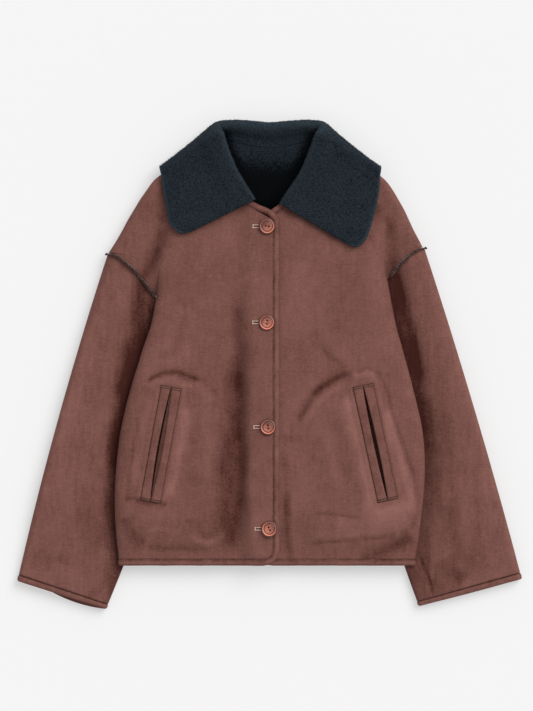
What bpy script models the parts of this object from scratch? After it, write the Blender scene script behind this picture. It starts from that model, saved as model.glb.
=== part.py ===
"""Buttoned suede jacket with a fleece collar, laid flat on its back with both sleeves down its sides.

Sizes are in millimetres and become metres where a mesh is made. +X is to the viewer's right, +Y runs
from the hem to the collar and +Z from the surface up to the front of the jacket. "Lateral" is the
distance from the centre line out to either side. The wearer's right is at -X. Every cloth piece is a
wall between two grids of points, an outer face and an inner one.
"""
import math

import bpy
import numpy as np
from mathutils.bvhtree import BVHTree

MM = 0.001
CLOTH = 3.0            # bonded suede and fleece
COLLAR_CLOTH = 5.0     # the same cloth with its pile standing
SEAM_GAP = 0.4         # between two pieces that are sewn edge to edge
LAYER_GAP = 1.2        # between cloth that lies on other cloth
TRIM_GAP = 0.7         # between a panel and what is sewn onto it

HEM_Y = -302.0
BINDING_WIDTH = 10.0
BINDING_SWELL = 0.8    # how far a binding stands out of the cloth that it edges
CUFF_BINDING_SHARE = 0.019
LAP_RAISE = CLOTH + BINDING_SWELL + 2.2      # how far the upper front stands over the lower one
FRONT_EDGE = {"right": 14.5, "left": 20.0}   # how far each front laps past the centre line
FRONT_CORNER_RADIUS = 25.0
# Where the front edge turns towards the collar, at the seam of its binding.
NECK_CORNER = {
    "right": {"y": (208, 214, 218, 231.5, 234.7, 243.4), "lateral": (-4.5, -4.1, -2.6, 22, 28, 30.4)},
    "left": {"y": (204, 209.5, 213, 222.9, 232.9, 236.9), "lateral": (-10, -9.6, -8, 5.8, 19.8, 21)},
}

BODY_HEIGHT = 38.0
HEM_HEIGHT = 25.0
SHOULDER_HEIGHT = 27.0
SHOULDER_ROLL = 11.0
SIDE_ROLL = 20.0
SLEEVE_HIGH = 24.0
SLEEVE_LOW = 12.0
CUFF_HIGH = 16.0
CUFF_LOW = 12.0
OUTER_FOLD = 0.054     # as shares of the sleeve's width
INNER_FOLD = 0.034
CAP_BULGE = 19.0
SEAM_LAP = 3.0
NECK_GAP = 1.0

SIDES = {
    "right": {
        "sign": -1, "shoulder_tip": (243, 166), "underarm": (118, 4), "cuff_outer": (377.9, -319),
        "cuff_inner": (246, -367.3), "outer_bow": 6, "inner_bow": -7, "fold_share": 0.47,
    },
    "left": {
        "sign": 1, "shoulder_tip": (232, 175), "underarm": (115, 4), "cuff_outer": (378, -319),
        "cuff_inner": (224, -363), "outer_bow": 4, "inner_bow": -7, "fold_share": 0.33,
    },
}

# The side of the body as it is seen from above, and above the armhole the crease that it fades into.
BODY_EDGE = {
    "y":     (-300, -225, -160, -100, -40, 20, 60, 100, 130, 160, 230, 360),
    "right": (224, 230, 232.5, 228, 215.5, 199, 184.5, 171, 167, 163, 155, 150),
    "left":  (219, 226, 232, 230, 218, 202, 192, 183, 177, 170, 158, 150),
}
SIDE_SEAM = {
    "y":       (-300, -225, -160, -100, -70, -40, -16, 4),
    "lateral": (206, 210, 200, 165, 142, 122, 112, 110),
}
SHOULDER_LINE = {
    "y":     (166, 172, 187, 202, 217, 232, 247, 262, 277, 298, 313, 328, 343, 350),
    "right": (243, 239, 229.5, 221, 213, 204, 195, 184.5, 173, 145, 127, 107, 87.5, 78.5),
    "left":  (236, 232, 224, 216, 209, 202, 193.5, 184.5, 173, 145, 127, 107, 87.5, 78.5),
}

# The collar's fold line and outer edge, from the front end (0) to the top of the shoulder (1).
COLLAR_FRONT = {
    "share":        (0, 0.12, 0.25, 0.5, 0.75, 1),
    "right_roll":   (21, 29, 37, 51, 62, 69),
    "right_roll_y": (247, 260, 273, 298, 325, 349),
    "right_edge":   (117, 133, 146, 154, 160, 159),
    "right_edge_y": (199, 196, 206, 234, 263, 284),
    "left_roll":    (14, 22, 31, 46.5, 59, 68),
    "left_roll_y":  (241, 254, 267, 292, 322, 348),
    "left_edge":    (104, 126, 140, 154, 161, 160),
    "left_edge_y":  (187, 176, 182, 222, 259, 285),
}
# The fold line, the edge and the neck seam on top of the shoulder.
COLLAR_CORNER = {"roll": (78, 364), "edge": (166, 297), "neck": (91.5, 341.6)}
# The back of the collar, from the shoulder (0) to the centre back (1).
COLLAR_BACK = {
    "share":  (0, 0.35, 0.7, 1),
    "roll":   (70, 52, 28, 0),
    "roll_y": (364.5, 366.5, 366, 363.5),
    "neck":   (77, 60, 32, 0),
    "neck_y": (341.6, 337, 329, 325),
    "edge":   (158, 122, 62, 0),
    "edge_y": (284, 271, 264, 262),
}
COLLAR_LIFT = COLLAR_CLOTH + LAYER_GAP
HOOK_DEPTH = (8.0, 13.0)     # fold line to neck seam, at the front end and at the shoulder
HOOK_HEIGHT = (5.0, 9.0)
COLLAR_ROLL_HEIGHT = 21.0
TOP_ROW_Y = 340.6

BUTTON_RADIUS = 12.0
BUTTON_THICKNESS = 4.6
BUTTON_PLACES = ((-4, 207), (-4.4, 63), (-2.7, -93.5), (-0.8, -246))
POCKET_SLIT = {"right": ((146.5, -35), (178, -199)), "left": ((139.5, -33), (176.5, -201))}
WELT_WIDTH = 15.0
WELT_THICKNESS = 2.2
POCKET_BAG = {"right": (140, -137, 66, 112), "left": (137, -137, 74, 112)}
POCKET_DEPTH = 8.0
POCKET_CLOTH = 1.6


def smooth(share):
    """0 below 0, 1 above 1 and an even rise between."""
    share = np.clip(share, 0.0, 1.0)
    return share * share * (3 - 2 * share)


def hump(distance, width):
    return np.exp(-np.square(np.asarray(distance) / width))


def through(xs, ys, at):
    """A smooth curve through a table's rows."""
    xs, ys = np.asarray(xs, float), np.asarray(ys, float)
    slopes = np.gradient(ys, xs)
    at = np.clip(at, xs[0], xs[-1])
    i = np.clip(np.searchsorted(xs, at) - 1, 0, len(xs) - 2)
    step = xs[i + 1] - xs[i]
    t = (at - xs[i]) / step
    return ((1 + 2 * t) * (1 - t) ** 2 * ys[i] + t * (1 - t) ** 2 * step * slopes[i]
            + t * t * (3 - 2 * t) * ys[i + 1] - t * t * (1 - t) * step * slopes[i + 1])


def quarter(share):
    """A quarter circle's rise, from 0 to 1."""
    return np.sqrt(np.clip(1 - (1 - np.clip(share, 0, 1)) ** 2, 0, 1))


def spread(points, count, bend=14.0):
    """A line again with count points, closer together where it bends: bend is a radian's worth in mm."""
    apart = np.linalg.norm(np.diff(points[:, :2], axis=0), axis=1) > 1e-4
    points = points[np.r_[True, apart]]
    step = np.diff(points, axis=0)
    heading = np.unwrap(np.arctan2(step[:, 1], step[:, 0]))
    turn = np.r_[0, np.abs(np.diff(heading))]
    along = np.r_[0, np.cumsum(np.linalg.norm(step[:, :2], axis=1) + bend * turn)]
    at = np.linspace(0, along[-1], count)
    return np.stack([np.interp(at, along, points[:, k]) for k in range(points.shape[1])], axis=1)


# ---- where the layers lie ----

def body_edge(side, y):
    return through(BODY_EDGE["y"], BODY_EDGE[side], y)


def shoulder_line(side, y):
    return through(SHOULDER_LINE["y"], SHOULDER_LINE[side], y)


def sleeve_edges(side, v):
    """The sleeve's outer and inner edge at v, from the cuff (0) to the armhole (1)."""
    size, v = SIDES[side], np.asarray(v, float)[..., None]
    bow = 4 * v * (1 - v) * np.array([1.0, 0.0])
    outer = np.array(size["cuff_outer"]) * (1 - v) + np.array(size["shoulder_tip"]) * v
    inner = np.array(size["cuff_inner"]) * (1 - v) + np.array(size["underarm"]) * v
    return outer + bow * size["outer_bow"], inner + bow * size["inner_bow"]


def armhole_cap(side, s):
    """How far the sleeve's cap bulges past the straight line from shoulder to underarm, as a vector."""
    tip, pit = (np.array(SIDES[side][k], float) for k in ("shoulder_tip", "underarm"))
    along = (pit - tip) / np.linalg.norm(pit - tip)
    toward_neck = np.array([along[1], -along[0]])
    share = np.clip(np.asarray(s, float), 0, 1) ** 0.62
    return np.sin(math.pi * share)[..., None] * CAP_BULGE * toward_neck, toward_neck


def sleeve_plan(side, s, v, lap=0.0):
    """The point a share s of the way over the sleeve from its outer to its inner edge."""
    outer, inner = sleeve_edges(side, v)
    cap, toward_neck = armhole_cap(side, s)
    rise = smooth((np.asarray(v, float) - 0.6) / 0.4)[..., None]
    s = np.asarray(s, float)[..., None]
    return outer * (1 - s) + inner * s + cap * rise + np.asarray(lap)[..., None] * toward_neck


def armhole(side, s):
    return sleeve_plan(side, np.asarray(s, float), np.ones_like(np.asarray(s, float)))


def inside_sleeve(side, u, y):
    """How far a point lies past the sleeve's inner edge, towards the centre line."""
    low, high = np.full(np.shape(u), -0.3), np.full(np.shape(u), 1.4)
    for _ in range(24):
        v = (low + high) / 2
        outer, inner = sleeve_edges(side, v)
        across = inner - outer
        beyond = across[..., 0] * (y - outer[..., 1]) - across[..., 1] * (u - outer[..., 0]) < 0
        low, high = np.where(beyond, v, low), np.where(beyond, high, v)
    outer, inner = sleeve_edges(side, (low + high) / 2)
    across = inner - outer
    width = np.linalg.norm(across, axis=-1)
    along = ((u - outer[..., 0]) * across[..., 0] + (y - outer[..., 1]) * across[..., 1]) / width
    return along - width


def sleeve_top(side, u, y):
    """The height of the sleeve's upper face: pressed low under the body, full outside it."""
    near_cuff = smooth((-190 - y) / 130)
    low = SLEEVE_LOW + (CUFF_LOW - SLEEVE_LOW) * near_cuff + 10 * smooth((y - 110) / 90)
    high = SLEEVE_HIGH + (CUFF_HIGH - SLEEVE_HIGH) * near_cuff
    return low + (high - low) * smooth((u - body_edge(side, y) + 8) / 52)


def collar_lift(u, y):
    """How far the back of the collar, which lies under the body, raises it."""
    edge_y = COLLAR_BACK["edge_y"][-1] + 18 * (u / 158) ** 2
    return COLLAR_LIFT * smooth((y - edge_y + 33) / 20)


def under_body(side, u, y):
    """The underside of the body's lower cloth: over the sleeve, and down to the surface past it."""
    past = inside_sleeve(side, u, y)
    return (sleeve_top(side, u, y) + LAYER_GAP) * (1 - smooth((past - 1) / 20)) * smooth((-y - 6) / 14)


def plateau(x, y):
    """The height of the fronts' outer face between the centre and the side rolls."""
    height = BODY_HEIGHT + (HEM_HEIGHT - BODY_HEIGHT) * smooth((-215 - y) / 85)
    height = height + (SHOULDER_HEIGHT - BODY_HEIGHT) * smooth((y - 110) / 190)
    low_half = smooth((110 - y) / 120)
    height = height - 7 * hump(x + 47, 17) * low_half * (1 - 0.6 * smooth((-215 - y) / 80))
    height = height + 3.5 * hump(x + 165, 34) * hump(y + 110, 110)
    height = height + 3.5 * hump(x - 160, 40) * hump(y + 120, 110)
    height = height + 2.0 * hump(x + 12, 20) * low_half
    height = height - 2.5 * hump(x - 42, 20) * smooth((40 - y) / 120)
    return height - 2.0 * hump(x - 75 + 0.5 * (y - 20), 14) * hump(y - 5, 45)


def front_lap(side, x):
    """The right front lies on the left one, so it is a layer higher where they lap."""
    if side == "left":
        return 0.0
    return LAP_RAISE * smooth((x + FRONT_EDGE["left"] + 32) / 30)


def silhouette(side, y):
    """The lateral of the outline: the shoulder above its tip and the sleeve's outer edge below."""
    tip_u, tip_y = SIDES[side]["shoulder_tip"]
    cuff_u, cuff_y = SIDES[side]["cuff_outer"]
    sleeve_line = tip_u + (cuff_u - tip_u) * (tip_y - y) / (tip_y - cuff_y)
    return np.where(y > tip_y, shoulder_line(side, y), sleeve_line)


def one_sheet(side, u, y):
    """The front's outer face where it is one sheet: the body, the crease beside it and the shoulder."""
    size = SIDES[side]
    x = size["sign"] * u
    fold_y = armhole(side, size["fold_share"])[1]
    edge = body_edge(side, y)
    body = plateau(x, y) + front_lap(side, x)
    shoulder = sleeve_top(side, u, y)
    steep = 1 - quarter(1 - (u - edge + SIDE_ROLL) / SIDE_ROLL)
    gentle = smooth((u - edge + 22) / 48)
    rise = smooth((y - fold_y) / 50)
    drop = (1 - rise) * np.where(u > edge, 1.0, steep) + rise * gentle
    return body + (shoulder - body) * drop * (1 - smooth((y - 215) / 60))


def shoulder_middle(side, y):
    """The height of the shoulder seam, half way down the shoulder's roll."""
    u = silhouette(side, y) - SHOULDER_ROLL
    return (one_sheet(side, u, y) + collar_lift(u, y)) / 2


def rolled_sheet(side, u, y):
    """The same, rolled down to the shoulder seam near the outline."""
    middle = shoulder_middle(side, y) + SEAM_GAP / 2
    share = quarter((silhouette(side, y) - u) / SHOULDER_ROLL)
    return middle + (one_sheet(side, u, y) - middle) * share


# ---- the rows and edges of the panels ----

def collar_line(side, share):
    """The collar's fold line and edge points at a share of its way from the front end to the shoulder."""
    take = lambda column: through(COLLAR_FRONT["share"], COLLAR_FRONT[side + column], share)
    roll = np.stack([take("_roll"), take("_roll_y")], axis=-1)
    edge = np.stack([take("_edge"), take("_edge_y")], axis=-1)
    return roll, edge


def neck_points(side):
    """The neck seam on the front, from the front end to the shoulder."""
    share = np.linspace(0, 1, 9)
    roll, edge = collar_line(side, share)
    along = (edge - roll) / np.linalg.norm(edge - roll, axis=1)[:, None]
    depth = HOOK_DEPTH[0] + (HOOK_DEPTH[1] - HOOK_DEPTH[0]) * share
    return roll + along * depth[:, None]


def front_start(side, y):
    """Where the front's cloth begins, as a signed lateral: its front edge, corners and neckline."""
    corner_table = NECK_CORNER[side]
    if y <= corner_table["y"][0]:
        hem, radius = HEM_Y + BINDING_WIDTH, FRONT_CORNER_RADIUS - BINDING_WIDTH
        lap = -(FRONT_EDGE[side] - BINDING_WIDTH)
        return float(lap + radius * (1 - quarter((y - hem) / radius)))
    if y <= corner_table["y"][-1]:
        return float(np.interp(y, corner_table["y"], corner_table["lateral"])) + SEAM_GAP
    neck = neck_points(side)
    return float(np.interp(y, neck[:, 1], neck[:, 0])) + NECK_GAP


LOWER_ROWS = (-292, -269, -240, -203, -163, -123, -86, -58, -38, -20, -8)


def over_shares(side):
    """The sleeve's shares from its outer to its inner fold, one of them where the body's edge crosses."""
    fold = SIDES[side]["fold_share"]
    return np.r_[np.linspace(OUTER_FOLD, fold, 5), np.linspace(fold, 1 - INNER_FOLD, 7)[1:]]


def under_shares():
    return np.linspace(OUTER_FOLD, 1 - INNER_FOLD, 7)


def front_rows(side):
    """The rows' y from the hem to the top, with more of them at corners and round the armhole."""
    hem = LOWER_ROWS[0]
    fold, tip_y = SIDES[side]["fold_share"], SIDES[side]["shoulder_tip"][1]
    lower = [hem, hem + 4, hem + 15, *LOWER_ROWS[1:]]
    hidden = armhole(side, np.linspace(1, fold, 5)[:-1])[:, 1]
    shown = armhole(side, [*over_shares(side)[4::-1], 0.02, 0.0])[:, 1]
    above = [y for y in NECK_CORNER[side]["y"] if y > tip_y + 14]
    upper = [tip_y + 1.5, *above, *np.linspace(above[-1] + 20, TOP_ROW_Y, 5)]
    return [*lower, *hidden, *shown, *upper]


def armhole_lateral(side, y):
    points = armhole(side, np.linspace(1, 0, 200))
    return float(np.interp(y, points[:, 1], points[:, 0]))


def side_seam(side, y):
    """The lateral of the seam that the front and the back share at y."""
    if y < SIDES[side]["underarm"][1] - 1:
        return float(through(SIDE_SEAM["y"], SIDE_SEAM["lateral"], y))
    if y <= SIDES[side]["shoulder_tip"][1]:
        return armhole_lateral(side, y)
    return float(shoulder_line(side, y))


def body_top(side, u, y):
    x = SIDES[side]["sign"] * np.asarray(u, float)
    return plateau(x, y) + front_lap(side, x)


def under_return(side, u, y):
    """The height of the front's lower face where it turns back under the body."""
    past = inside_sleeve(side, u, y)
    falling = smooth((past - 1) / 20) * smooth((-y - 6) / 14)
    return (sleeve_top(side, u, y) + LAYER_GAP) * (1 - falling)


def front_section(side, y, flat_columns=7, edge_columns=10):
    """One row of the front's outer face as (signed lateral, z), from its front edge to its far seam."""
    size = SIDES[side]
    tip_y = size["shoulder_tip"][1]
    folded = y < armhole(side, size["fold_share"])[1] + 0.01
    edge = float(body_edge(side, y))
    start = front_start(side, y)
    seam = side_seam(side, y)
    if folded:
        seam += SEAM_GAP
    elif y <= tip_y:
        seam -= 2 * SEAM_GAP
    turn = edge - SIDE_ROLL
    if folded:
        reach = min(14.0, edge - seam)
        top = float(body_top(side, turn, y))
        bottom = float(under_return(side, np.array(edge - reach), y))
        middle = bottom + (top - bottom) * 0.5 * float(smooth(reach / 12))
        bend = np.linspace(0, math.pi / 2, 24)
        upper = np.stack([turn + SIDE_ROLL * np.sin(bend), middle + (top - middle) * np.cos(bend)], axis=1)
        lower = np.stack([edge - reach * (1 - np.cos(bend)), middle - (middle - bottom) * np.sin(bend)], axis=1)
        back = np.linspace(edge - reach, seam, 40)
        rest = np.stack([back, under_return(side, back, y)], axis=1)
        side_path = np.concatenate([upper, lower[1:], rest[1:]])
        surface = body_top
    else:
        if y > tip_y:
            turn = min(turn, start + 0.62 * (seam - start))
        surface = rolled_sheet
        across = np.linspace(turn, seam, 80)
        side_path = np.stack([across, surface(side, across, y)], axis=1)
    flat = np.linspace(start, turn, 80)
    flat = np.stack([flat, surface(side, flat, y)], axis=1)
    return np.concatenate([spread(flat, flat_columns + 1, 90), spread(side_path, edge_columns + 1)[1:]])


def section_normals(path, last=None):
    """Unit normals of a section, on the left of its direction; last sets the one at its far end."""
    along = np.gradient(path, axis=0)
    normal = np.stack([-along[:, 1], along[:, 0]], axis=1)
    normal /= np.linalg.norm(normal, axis=1)[:, None]
    if last is not None:
        normal[-1] = last
    return normal


def front_normals(side, section, y):
    """The front's outward normals, square to the seam where it meets the back."""
    if y > SIDES[side]["shoulder_tip"][1]:
        return section_normals(section, (1.0, 0.0))
    if y < armhole(side, SIDES[side]["fold_share"])[1] + 0.01:
        return section_normals(section, (0.0, -1.0))
    return section_normals(section)


def placed(side, section, y):
    """Section points (lateral, z) as points in space."""
    return np.stack([SIDES[side]["sign"] * section[:, 0], np.full(len(section), y), section[:, 1]], axis=1)


# ---- meshes ----

def material(name, colour, roughness):
    made = bpy.data.materials.new(name)
    made.use_nodes = True
    shader = made.node_tree.nodes["Principled BSDF"]
    shader.inputs["Base Color"].default_value = (*colour, 1)
    shader.inputs["Roughness"].default_value = roughness
    shader.inputs["Metallic"].default_value = 0.0
    return made


def solid(name, points, faces, finish):
    """A closed mesh object from points in millimetres, with its faces turned outwards."""
    points = np.asarray(points, float)
    volume = 0.0
    for face in faces:
        for a, b in zip(face[1:-1], face[2:]):
            volume += np.dot(points[face[0]], np.cross(points[a], points[b]))
    if volume < 0:
        faces = [tuple(reversed(face)) for face in faces]
    mesh = bpy.data.meshes.new(name)
    mesh.from_pydata((points * MM).tolist(), [], [tuple(map(int, face)) for face in faces])
    mesh.materials.append(finish)
    mesh.shade_smooth()
    mesh.set_sharp_from_angle(angle=math.radians(50))
    made = bpy.data.objects.new(name, mesh)
    bpy.context.scene.collection.objects.link(made)
    return made


def wall(name, outer, inner, finish, closed_rows=False):
    """Cloth between two grids of rows and columns. With closed_rows each row is a ring."""
    rows, columns = outer.shape[:2]
    points = np.concatenate([outer.reshape(-1, 3), inner.reshape(-1, 3)])
    other = rows * columns
    last = columns if closed_rows else columns - 1
    faces = []
    for r in range(rows - 1):
        for c in range(last):
            d = (c + 1) % columns
            quad = (r * columns + c, r * columns + d, (r + 1) * columns + d, (r + 1) * columns + c)
            faces.append(quad)
            faces.append(tuple(other + p for p in reversed(quad)))
    for r in (0, rows - 1):
        for c in range(last):
            d = (c + 1) % columns
            rim = (r * columns + c, other + r * columns + c, other + r * columns + d, r * columns + d)
            faces.append(rim if r == 0 else tuple(reversed(rim)))
    if not closed_rows:
        for c in (0, columns - 1):
            for r in range(rows - 1):
                a, b = r * columns + c, (r + 1) * columns + c
                rim = (a, b, other + b, other + a)
                faces.append(rim if c == 0 else tuple(reversed(rim)))
    return solid(name, points, faces, finish)


def bar(name, sections, finish):
    """A solid through closed sections, each with the same number of points, capped at both ends."""
    count, around = sections.shape[:2]
    faces = [tuple(range(around)), tuple((count - 1) * around + k for k in reversed(range(around)))]
    for i in range(count - 1):
        for k in range(around):
            j = (k + 1) % around
            faces.append((i * around + j, i * around + k, (i + 1) * around + k, (i + 1) * around + j))
    return solid(name, sections.reshape(-1, 3), faces, finish)


# ---- the pieces ----

def front_panel(side, finish):
    outer, inner = [], []
    for y in front_rows(side):
        section = front_section(side, y)
        outer.append(placed(side, section, y))
        inner.append(placed(side, section - front_normals(side, section, y) * CLOTH, y))
    return wall("front_" + side, np.array(outer), np.array(inner), finish)


def back_rows(side):
    """The rows' y at the side seam, the armhole and the shoulder, from the hem to the neck."""
    hidden = armhole(side, [1.0, *under_shares()[::-1], 0.02, 0.0])[:, 1]
    tip_y = SIDES[side]["shoulder_tip"][1]
    upper = [tip_y + 1.5, 202, 226, 246, 264, 286, 308, 327, TOP_ROW_Y]
    return np.array([*LOWER_ROWS, *hidden, *upper], float)


def back_half(side, columns=8):
    """One half of the back's lower face, as rows (lateral, z) with their y, from the centre line out."""
    rows = []
    both = (back_rows("right") + back_rows("left")) / 2
    neck = COLLAR_BACK
    for y, shared_y in zip(back_rows(side), both):
        tip_y = SIDES[side]["shoulder_tip"][1]
        seam = side_seam(side, y) - SEAM_GAP
        across = np.linspace(0, seam, 160)
        bow = y - through(neck["neck"][::-1], neck["neck_y"][::-1], across) + SEAM_GAP
        share = smooth((y - 170) / (TOP_ROW_Y - 170))
        bent = shared_y + (y - shared_y) * smooth(across / 60) - bow * share * (across < neck["neck"][0])
        bent = np.minimum(bent, y) if y > tip_y else bent
        height = under_body(side, across, bent) + collar_lift(across, bent)
        if y > SIDES[side]["underarm"][1] - 1:
            middle = float(shoulder_middle(side, y)) - SEAM_GAP / 2
            share = quarter((float(silhouette(side, y)) - across) / SHOULDER_ROLL)
            height = middle - (middle - height) * share
        path = np.stack([across, height, bent], axis=1)
        path = spread(path, columns + 1, 40)
        near_outline = float(silhouette(side, y)) - seam < SHOULDER_ROLL
        square = (-1.0, 0.0) if y > tip_y else None if near_outline else (0.0, 1.0)
        normal = section_normals(path[:, :2], square)
        rows.append((path[:, :2], path[:, 2], normal))
    return rows


def back_panel(finish):
    lower, upper = [], []
    halves = {side: back_half(side) for side in SIDES}
    for right, left in zip(halves["right"], halves["left"]):
        low_row, high_row = [], []
        for side, (path, bent, normal) in (("right", right), ("left", left)):
            normal[0] = (0.0, 1.0)
            top = path + normal * CLOTH
            sign = SIDES[side]["sign"]
            low = np.stack([sign * path[:, 0], bent, path[:, 1]], axis=1)
            high = np.stack([sign * top[:, 0], bent, top[:, 1]], axis=1)
            order = slice(None, None, -1) if side == "right" else slice(1, None)
            low_row.append(low[order])
            high_row.append(high[order])
        lower.append(np.concatenate(low_row))
        upper.append(np.concatenate(high_row))
    return wall("back", np.array(lower), np.array(upper), finish)


def sleeve_ring(side, v, thickness_in=0.0, swell=0.0, lap=0.0):
    """One ring round the sleeve: along its underside, its inner fold, its top and its outer fold."""
    outer, inner = sleeve_edges(side, np.array(v))
    width = float(np.linalg.norm(inner - outer))
    fold = SIDES[side]["fold_share"]
    top_of = lambda share: float(sleeve_top_at(side, share, v)) + swell
    grow = (swell - thickness_in) / width
    ring = [(share, thickness_in, 0.0) for share in under_shares()]
    bend = np.radians((-60, -30, 0, 30, 60))
    height = top_of(1 - INNER_FOLD)
    for angle in bend:
        share = 1 - INNER_FOLD + (INNER_FOLD + grow) * math.cos(angle)
        ring.append((share, height / 2 + (height / 2 - thickness_in) * math.sin(angle), 0.0))
    for share in over_shares(side)[::-1]:
        ring.append((share, top_of(share) - thickness_in, lap * float(smooth((share - fold - 0.06) / 0.1))))
    height = top_of(OUTER_FOLD)
    for angle in bend[::-1]:
        share = OUTER_FOLD - (OUTER_FOLD + grow) * math.cos(angle)
        ring.append((share, height / 2 + (height / 2 - thickness_in) * math.sin(angle), 0.0))
    ring = np.array(ring)
    place = sleeve_plan(side, ring[:, 0], np.full(len(ring), float(v)), ring[:, 2])
    return np.stack([SIDES[side]["sign"] * place[:, 0], place[:, 1], ring[:, 1]], axis=1)


def sleeve_top_at(side, s, v):
    place = sleeve_plan(side, np.array(s), np.array(v))
    return sleeve_top(side, place[0], place[1])


def sleeve(side, finish):
    stations = [CUFF_BINDING_SHARE + 0.001, *np.linspace(0.11, 0.95, 9), 1.0]
    laps = [SEAM_LAP if v == 1.0 else 0.0 for v in stations]
    outer = [sleeve_ring(side, v, lap=lap) for v, lap in zip(stations, laps)]
    inner = [sleeve_ring(side, v, CLOTH, lap=lap) for v, lap in zip(stations, laps)]
    return wall("sleeve_" + side, np.array(outer), np.array(inner), finish, closed_rows=True)


def cuff_binding(side, finish):
    shares = (CUFF_BINDING_SHARE, 0.8 * CUFF_BINDING_SHARE, 0.25 * CUFF_BINDING_SHARE, 0.0)
    swells = (0.0, BINDING_SWELL, BINDING_SWELL, -0.2)
    outer = [sleeve_ring(side, v, swell=swell) for v, swell in zip(shares, swells)]
    inner = [sleeve_ring(side, v, CLOTH + 0.8, swell=swell) for v, swell in zip(shares, swells)]
    return wall("cuff_binding_" + side, np.array(outer), np.array(inner), finish, closed_rows=True)


def binding_sections(points, outward, normal):
    """A rounded strip beside a panel's edge: it starts past the edge and stands a little proud."""
    low, high = -CLOTH - 0.5, BINDING_SWELL
    profile = ((SEAM_GAP, -CLOTH), (SEAM_GAP, 0), (2.6, high), (7.4, high), (BINDING_WIDTH - 0.4, -1.4),
               (7.4, low), (2.6, low))
    return np.stack([points + outward * a + normal * b for a, b in profile], axis=1)


def front_edge_line(side):
    """The front panel's bound edge from the collar to the hem, as (lateral, y) with outward directions."""
    table = NECK_CORNER[side]
    hem, radius = HEM_Y + BINDING_WIDTH, FRONT_CORNER_RADIUS - BINDING_WIDTH
    lap = -(FRONT_EDGE[side] - BINDING_WIDTH)
    corner = np.stack([table["lateral"][:-1], table["y"][:-1]], axis=1)[::-1].astype(float)
    straight = np.stack([np.full(12, lap), np.linspace(table["y"][0] - 14, hem + radius, 12)], axis=1)
    turn = np.radians((18, 36, 54, 72, 90))
    rounded = np.stack([lap + radius * (1 - np.cos(turn)), hem + radius * (1 - np.sin(turn))], axis=1)
    corner[0] = 0.7 * corner[0] + 0.3 * corner[1]
    line = np.concatenate([corner, straight, rounded])
    along = np.gradient(line, axis=0)
    outward = np.stack([along[:, 1], -along[:, 0]], axis=1) / np.linalg.norm(along, axis=1)[:, None]
    outward[len(corner):-len(turn)] = (-1.0, 0.0)
    outward[-len(turn):] = -np.stack([np.cos(turn), np.sin(turn)], axis=1)
    return line, outward


def front_binding(side, finish):
    """The binding down the front edge, round the corner and along the hem to the side seam."""
    sign = SIDES[side]["sign"]
    hem = HEM_Y + BINDING_WIDTH
    line, outs = front_edge_line(side)
    edge = np.array([(sign * u, y, float(one_sheet(side, u, y))) for u, y in line])
    section = front_section(side, hem, 40, 60)
    section = section[section[:, 0] > line[-1, 0] + 5]
    section = spread(section, 16, 30)
    around = front_normals(side, section, hem)
    points = np.concatenate([edge, placed(side, section, hem)])
    outward = np.concatenate([np.stack([sign * outs[:, 0], outs[:, 1], 0 * outs[:, 0]], axis=1),
                              np.tile((0.0, -1.0, 0.0), (len(section), 1))])
    normal = np.concatenate([np.tile((0.0, 0.0, 1.0), (len(edge), 1)),
                             np.stack([sign * around[:, 0], 0 * around[:, 0], around[:, 1]], axis=1)])
    return bar("front_binding_" + side, binding_sections(points, outward, normal), finish)


def back_binding(finish):
    hem = HEM_Y + BINDING_WIDTH
    parts = []
    for side in SIDES:
        path, _, normal = back_half(side)[0]
        normal[0] = (0.0, 1.0)
        sign = SIDES[side]["sign"]
        points = np.stack([sign * path[:, 0], np.full(len(path), hem), path[:, 1]], axis=1)
        normals = -np.stack([sign * normal[:, 0], 0 * normal[:, 0], normal[:, 1]], axis=1)
        order = slice(None, None, -1) if side == "right" else slice(1, None)
        parts.append((points[order], normals[order]))
    points = np.concatenate([p for p, _ in parts])
    normals = np.concatenate([n for _, n in parts])
    outward = np.tile((0.0, -1.0, 0.0), (len(points), 1))
    sections = binding_sections(points, outward, normals)
    sections[:, :, 2] = np.maximum(sections[:, :, 2], 0.0)
    return bar("back_binding", sections, finish)


def armhole_ridge(side, finish):
    """The raw seam edges that stand up along the shown part of the armhole."""
    size = SIDES[side]
    shares = np.linspace(0.03, size["fold_share"] - 0.02, 9)
    place = armhole(side, shares)
    _, toward_neck = armhole_cap(side, 0.5)
    sections = []
    for (u, y), share in zip(place, shares):
        base = float(sleeve_top(side, u, y)) + TRIM_GAP + 0.7
        tall = 5.2 if 0.03 < share else 3.0
        loop = ((-3.6, 0.0), (-0.5, 0.0), (-0.5, tall * 0.8), (-1.3, tall), (-2.8, tall), (-3.6, tall * 0.7))
        sections.append([(size["sign"] * (u + toward_neck[0] * a), y + toward_neck[1] * a, base + b)
                         for a, b in loop])
    return bar("armhole_ridge_" + side, np.array(sections), finish)


def slit_frame(side):
    """The pocket slit's ends, its direction and the direction across it, in plan."""
    top, bottom = (np.array(p, float) for p in POCKET_SLIT[side])
    along = (bottom - top) / np.linalg.norm(bottom - top)
    return top, bottom, along, np.array([-along[1], along[0]])


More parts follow.
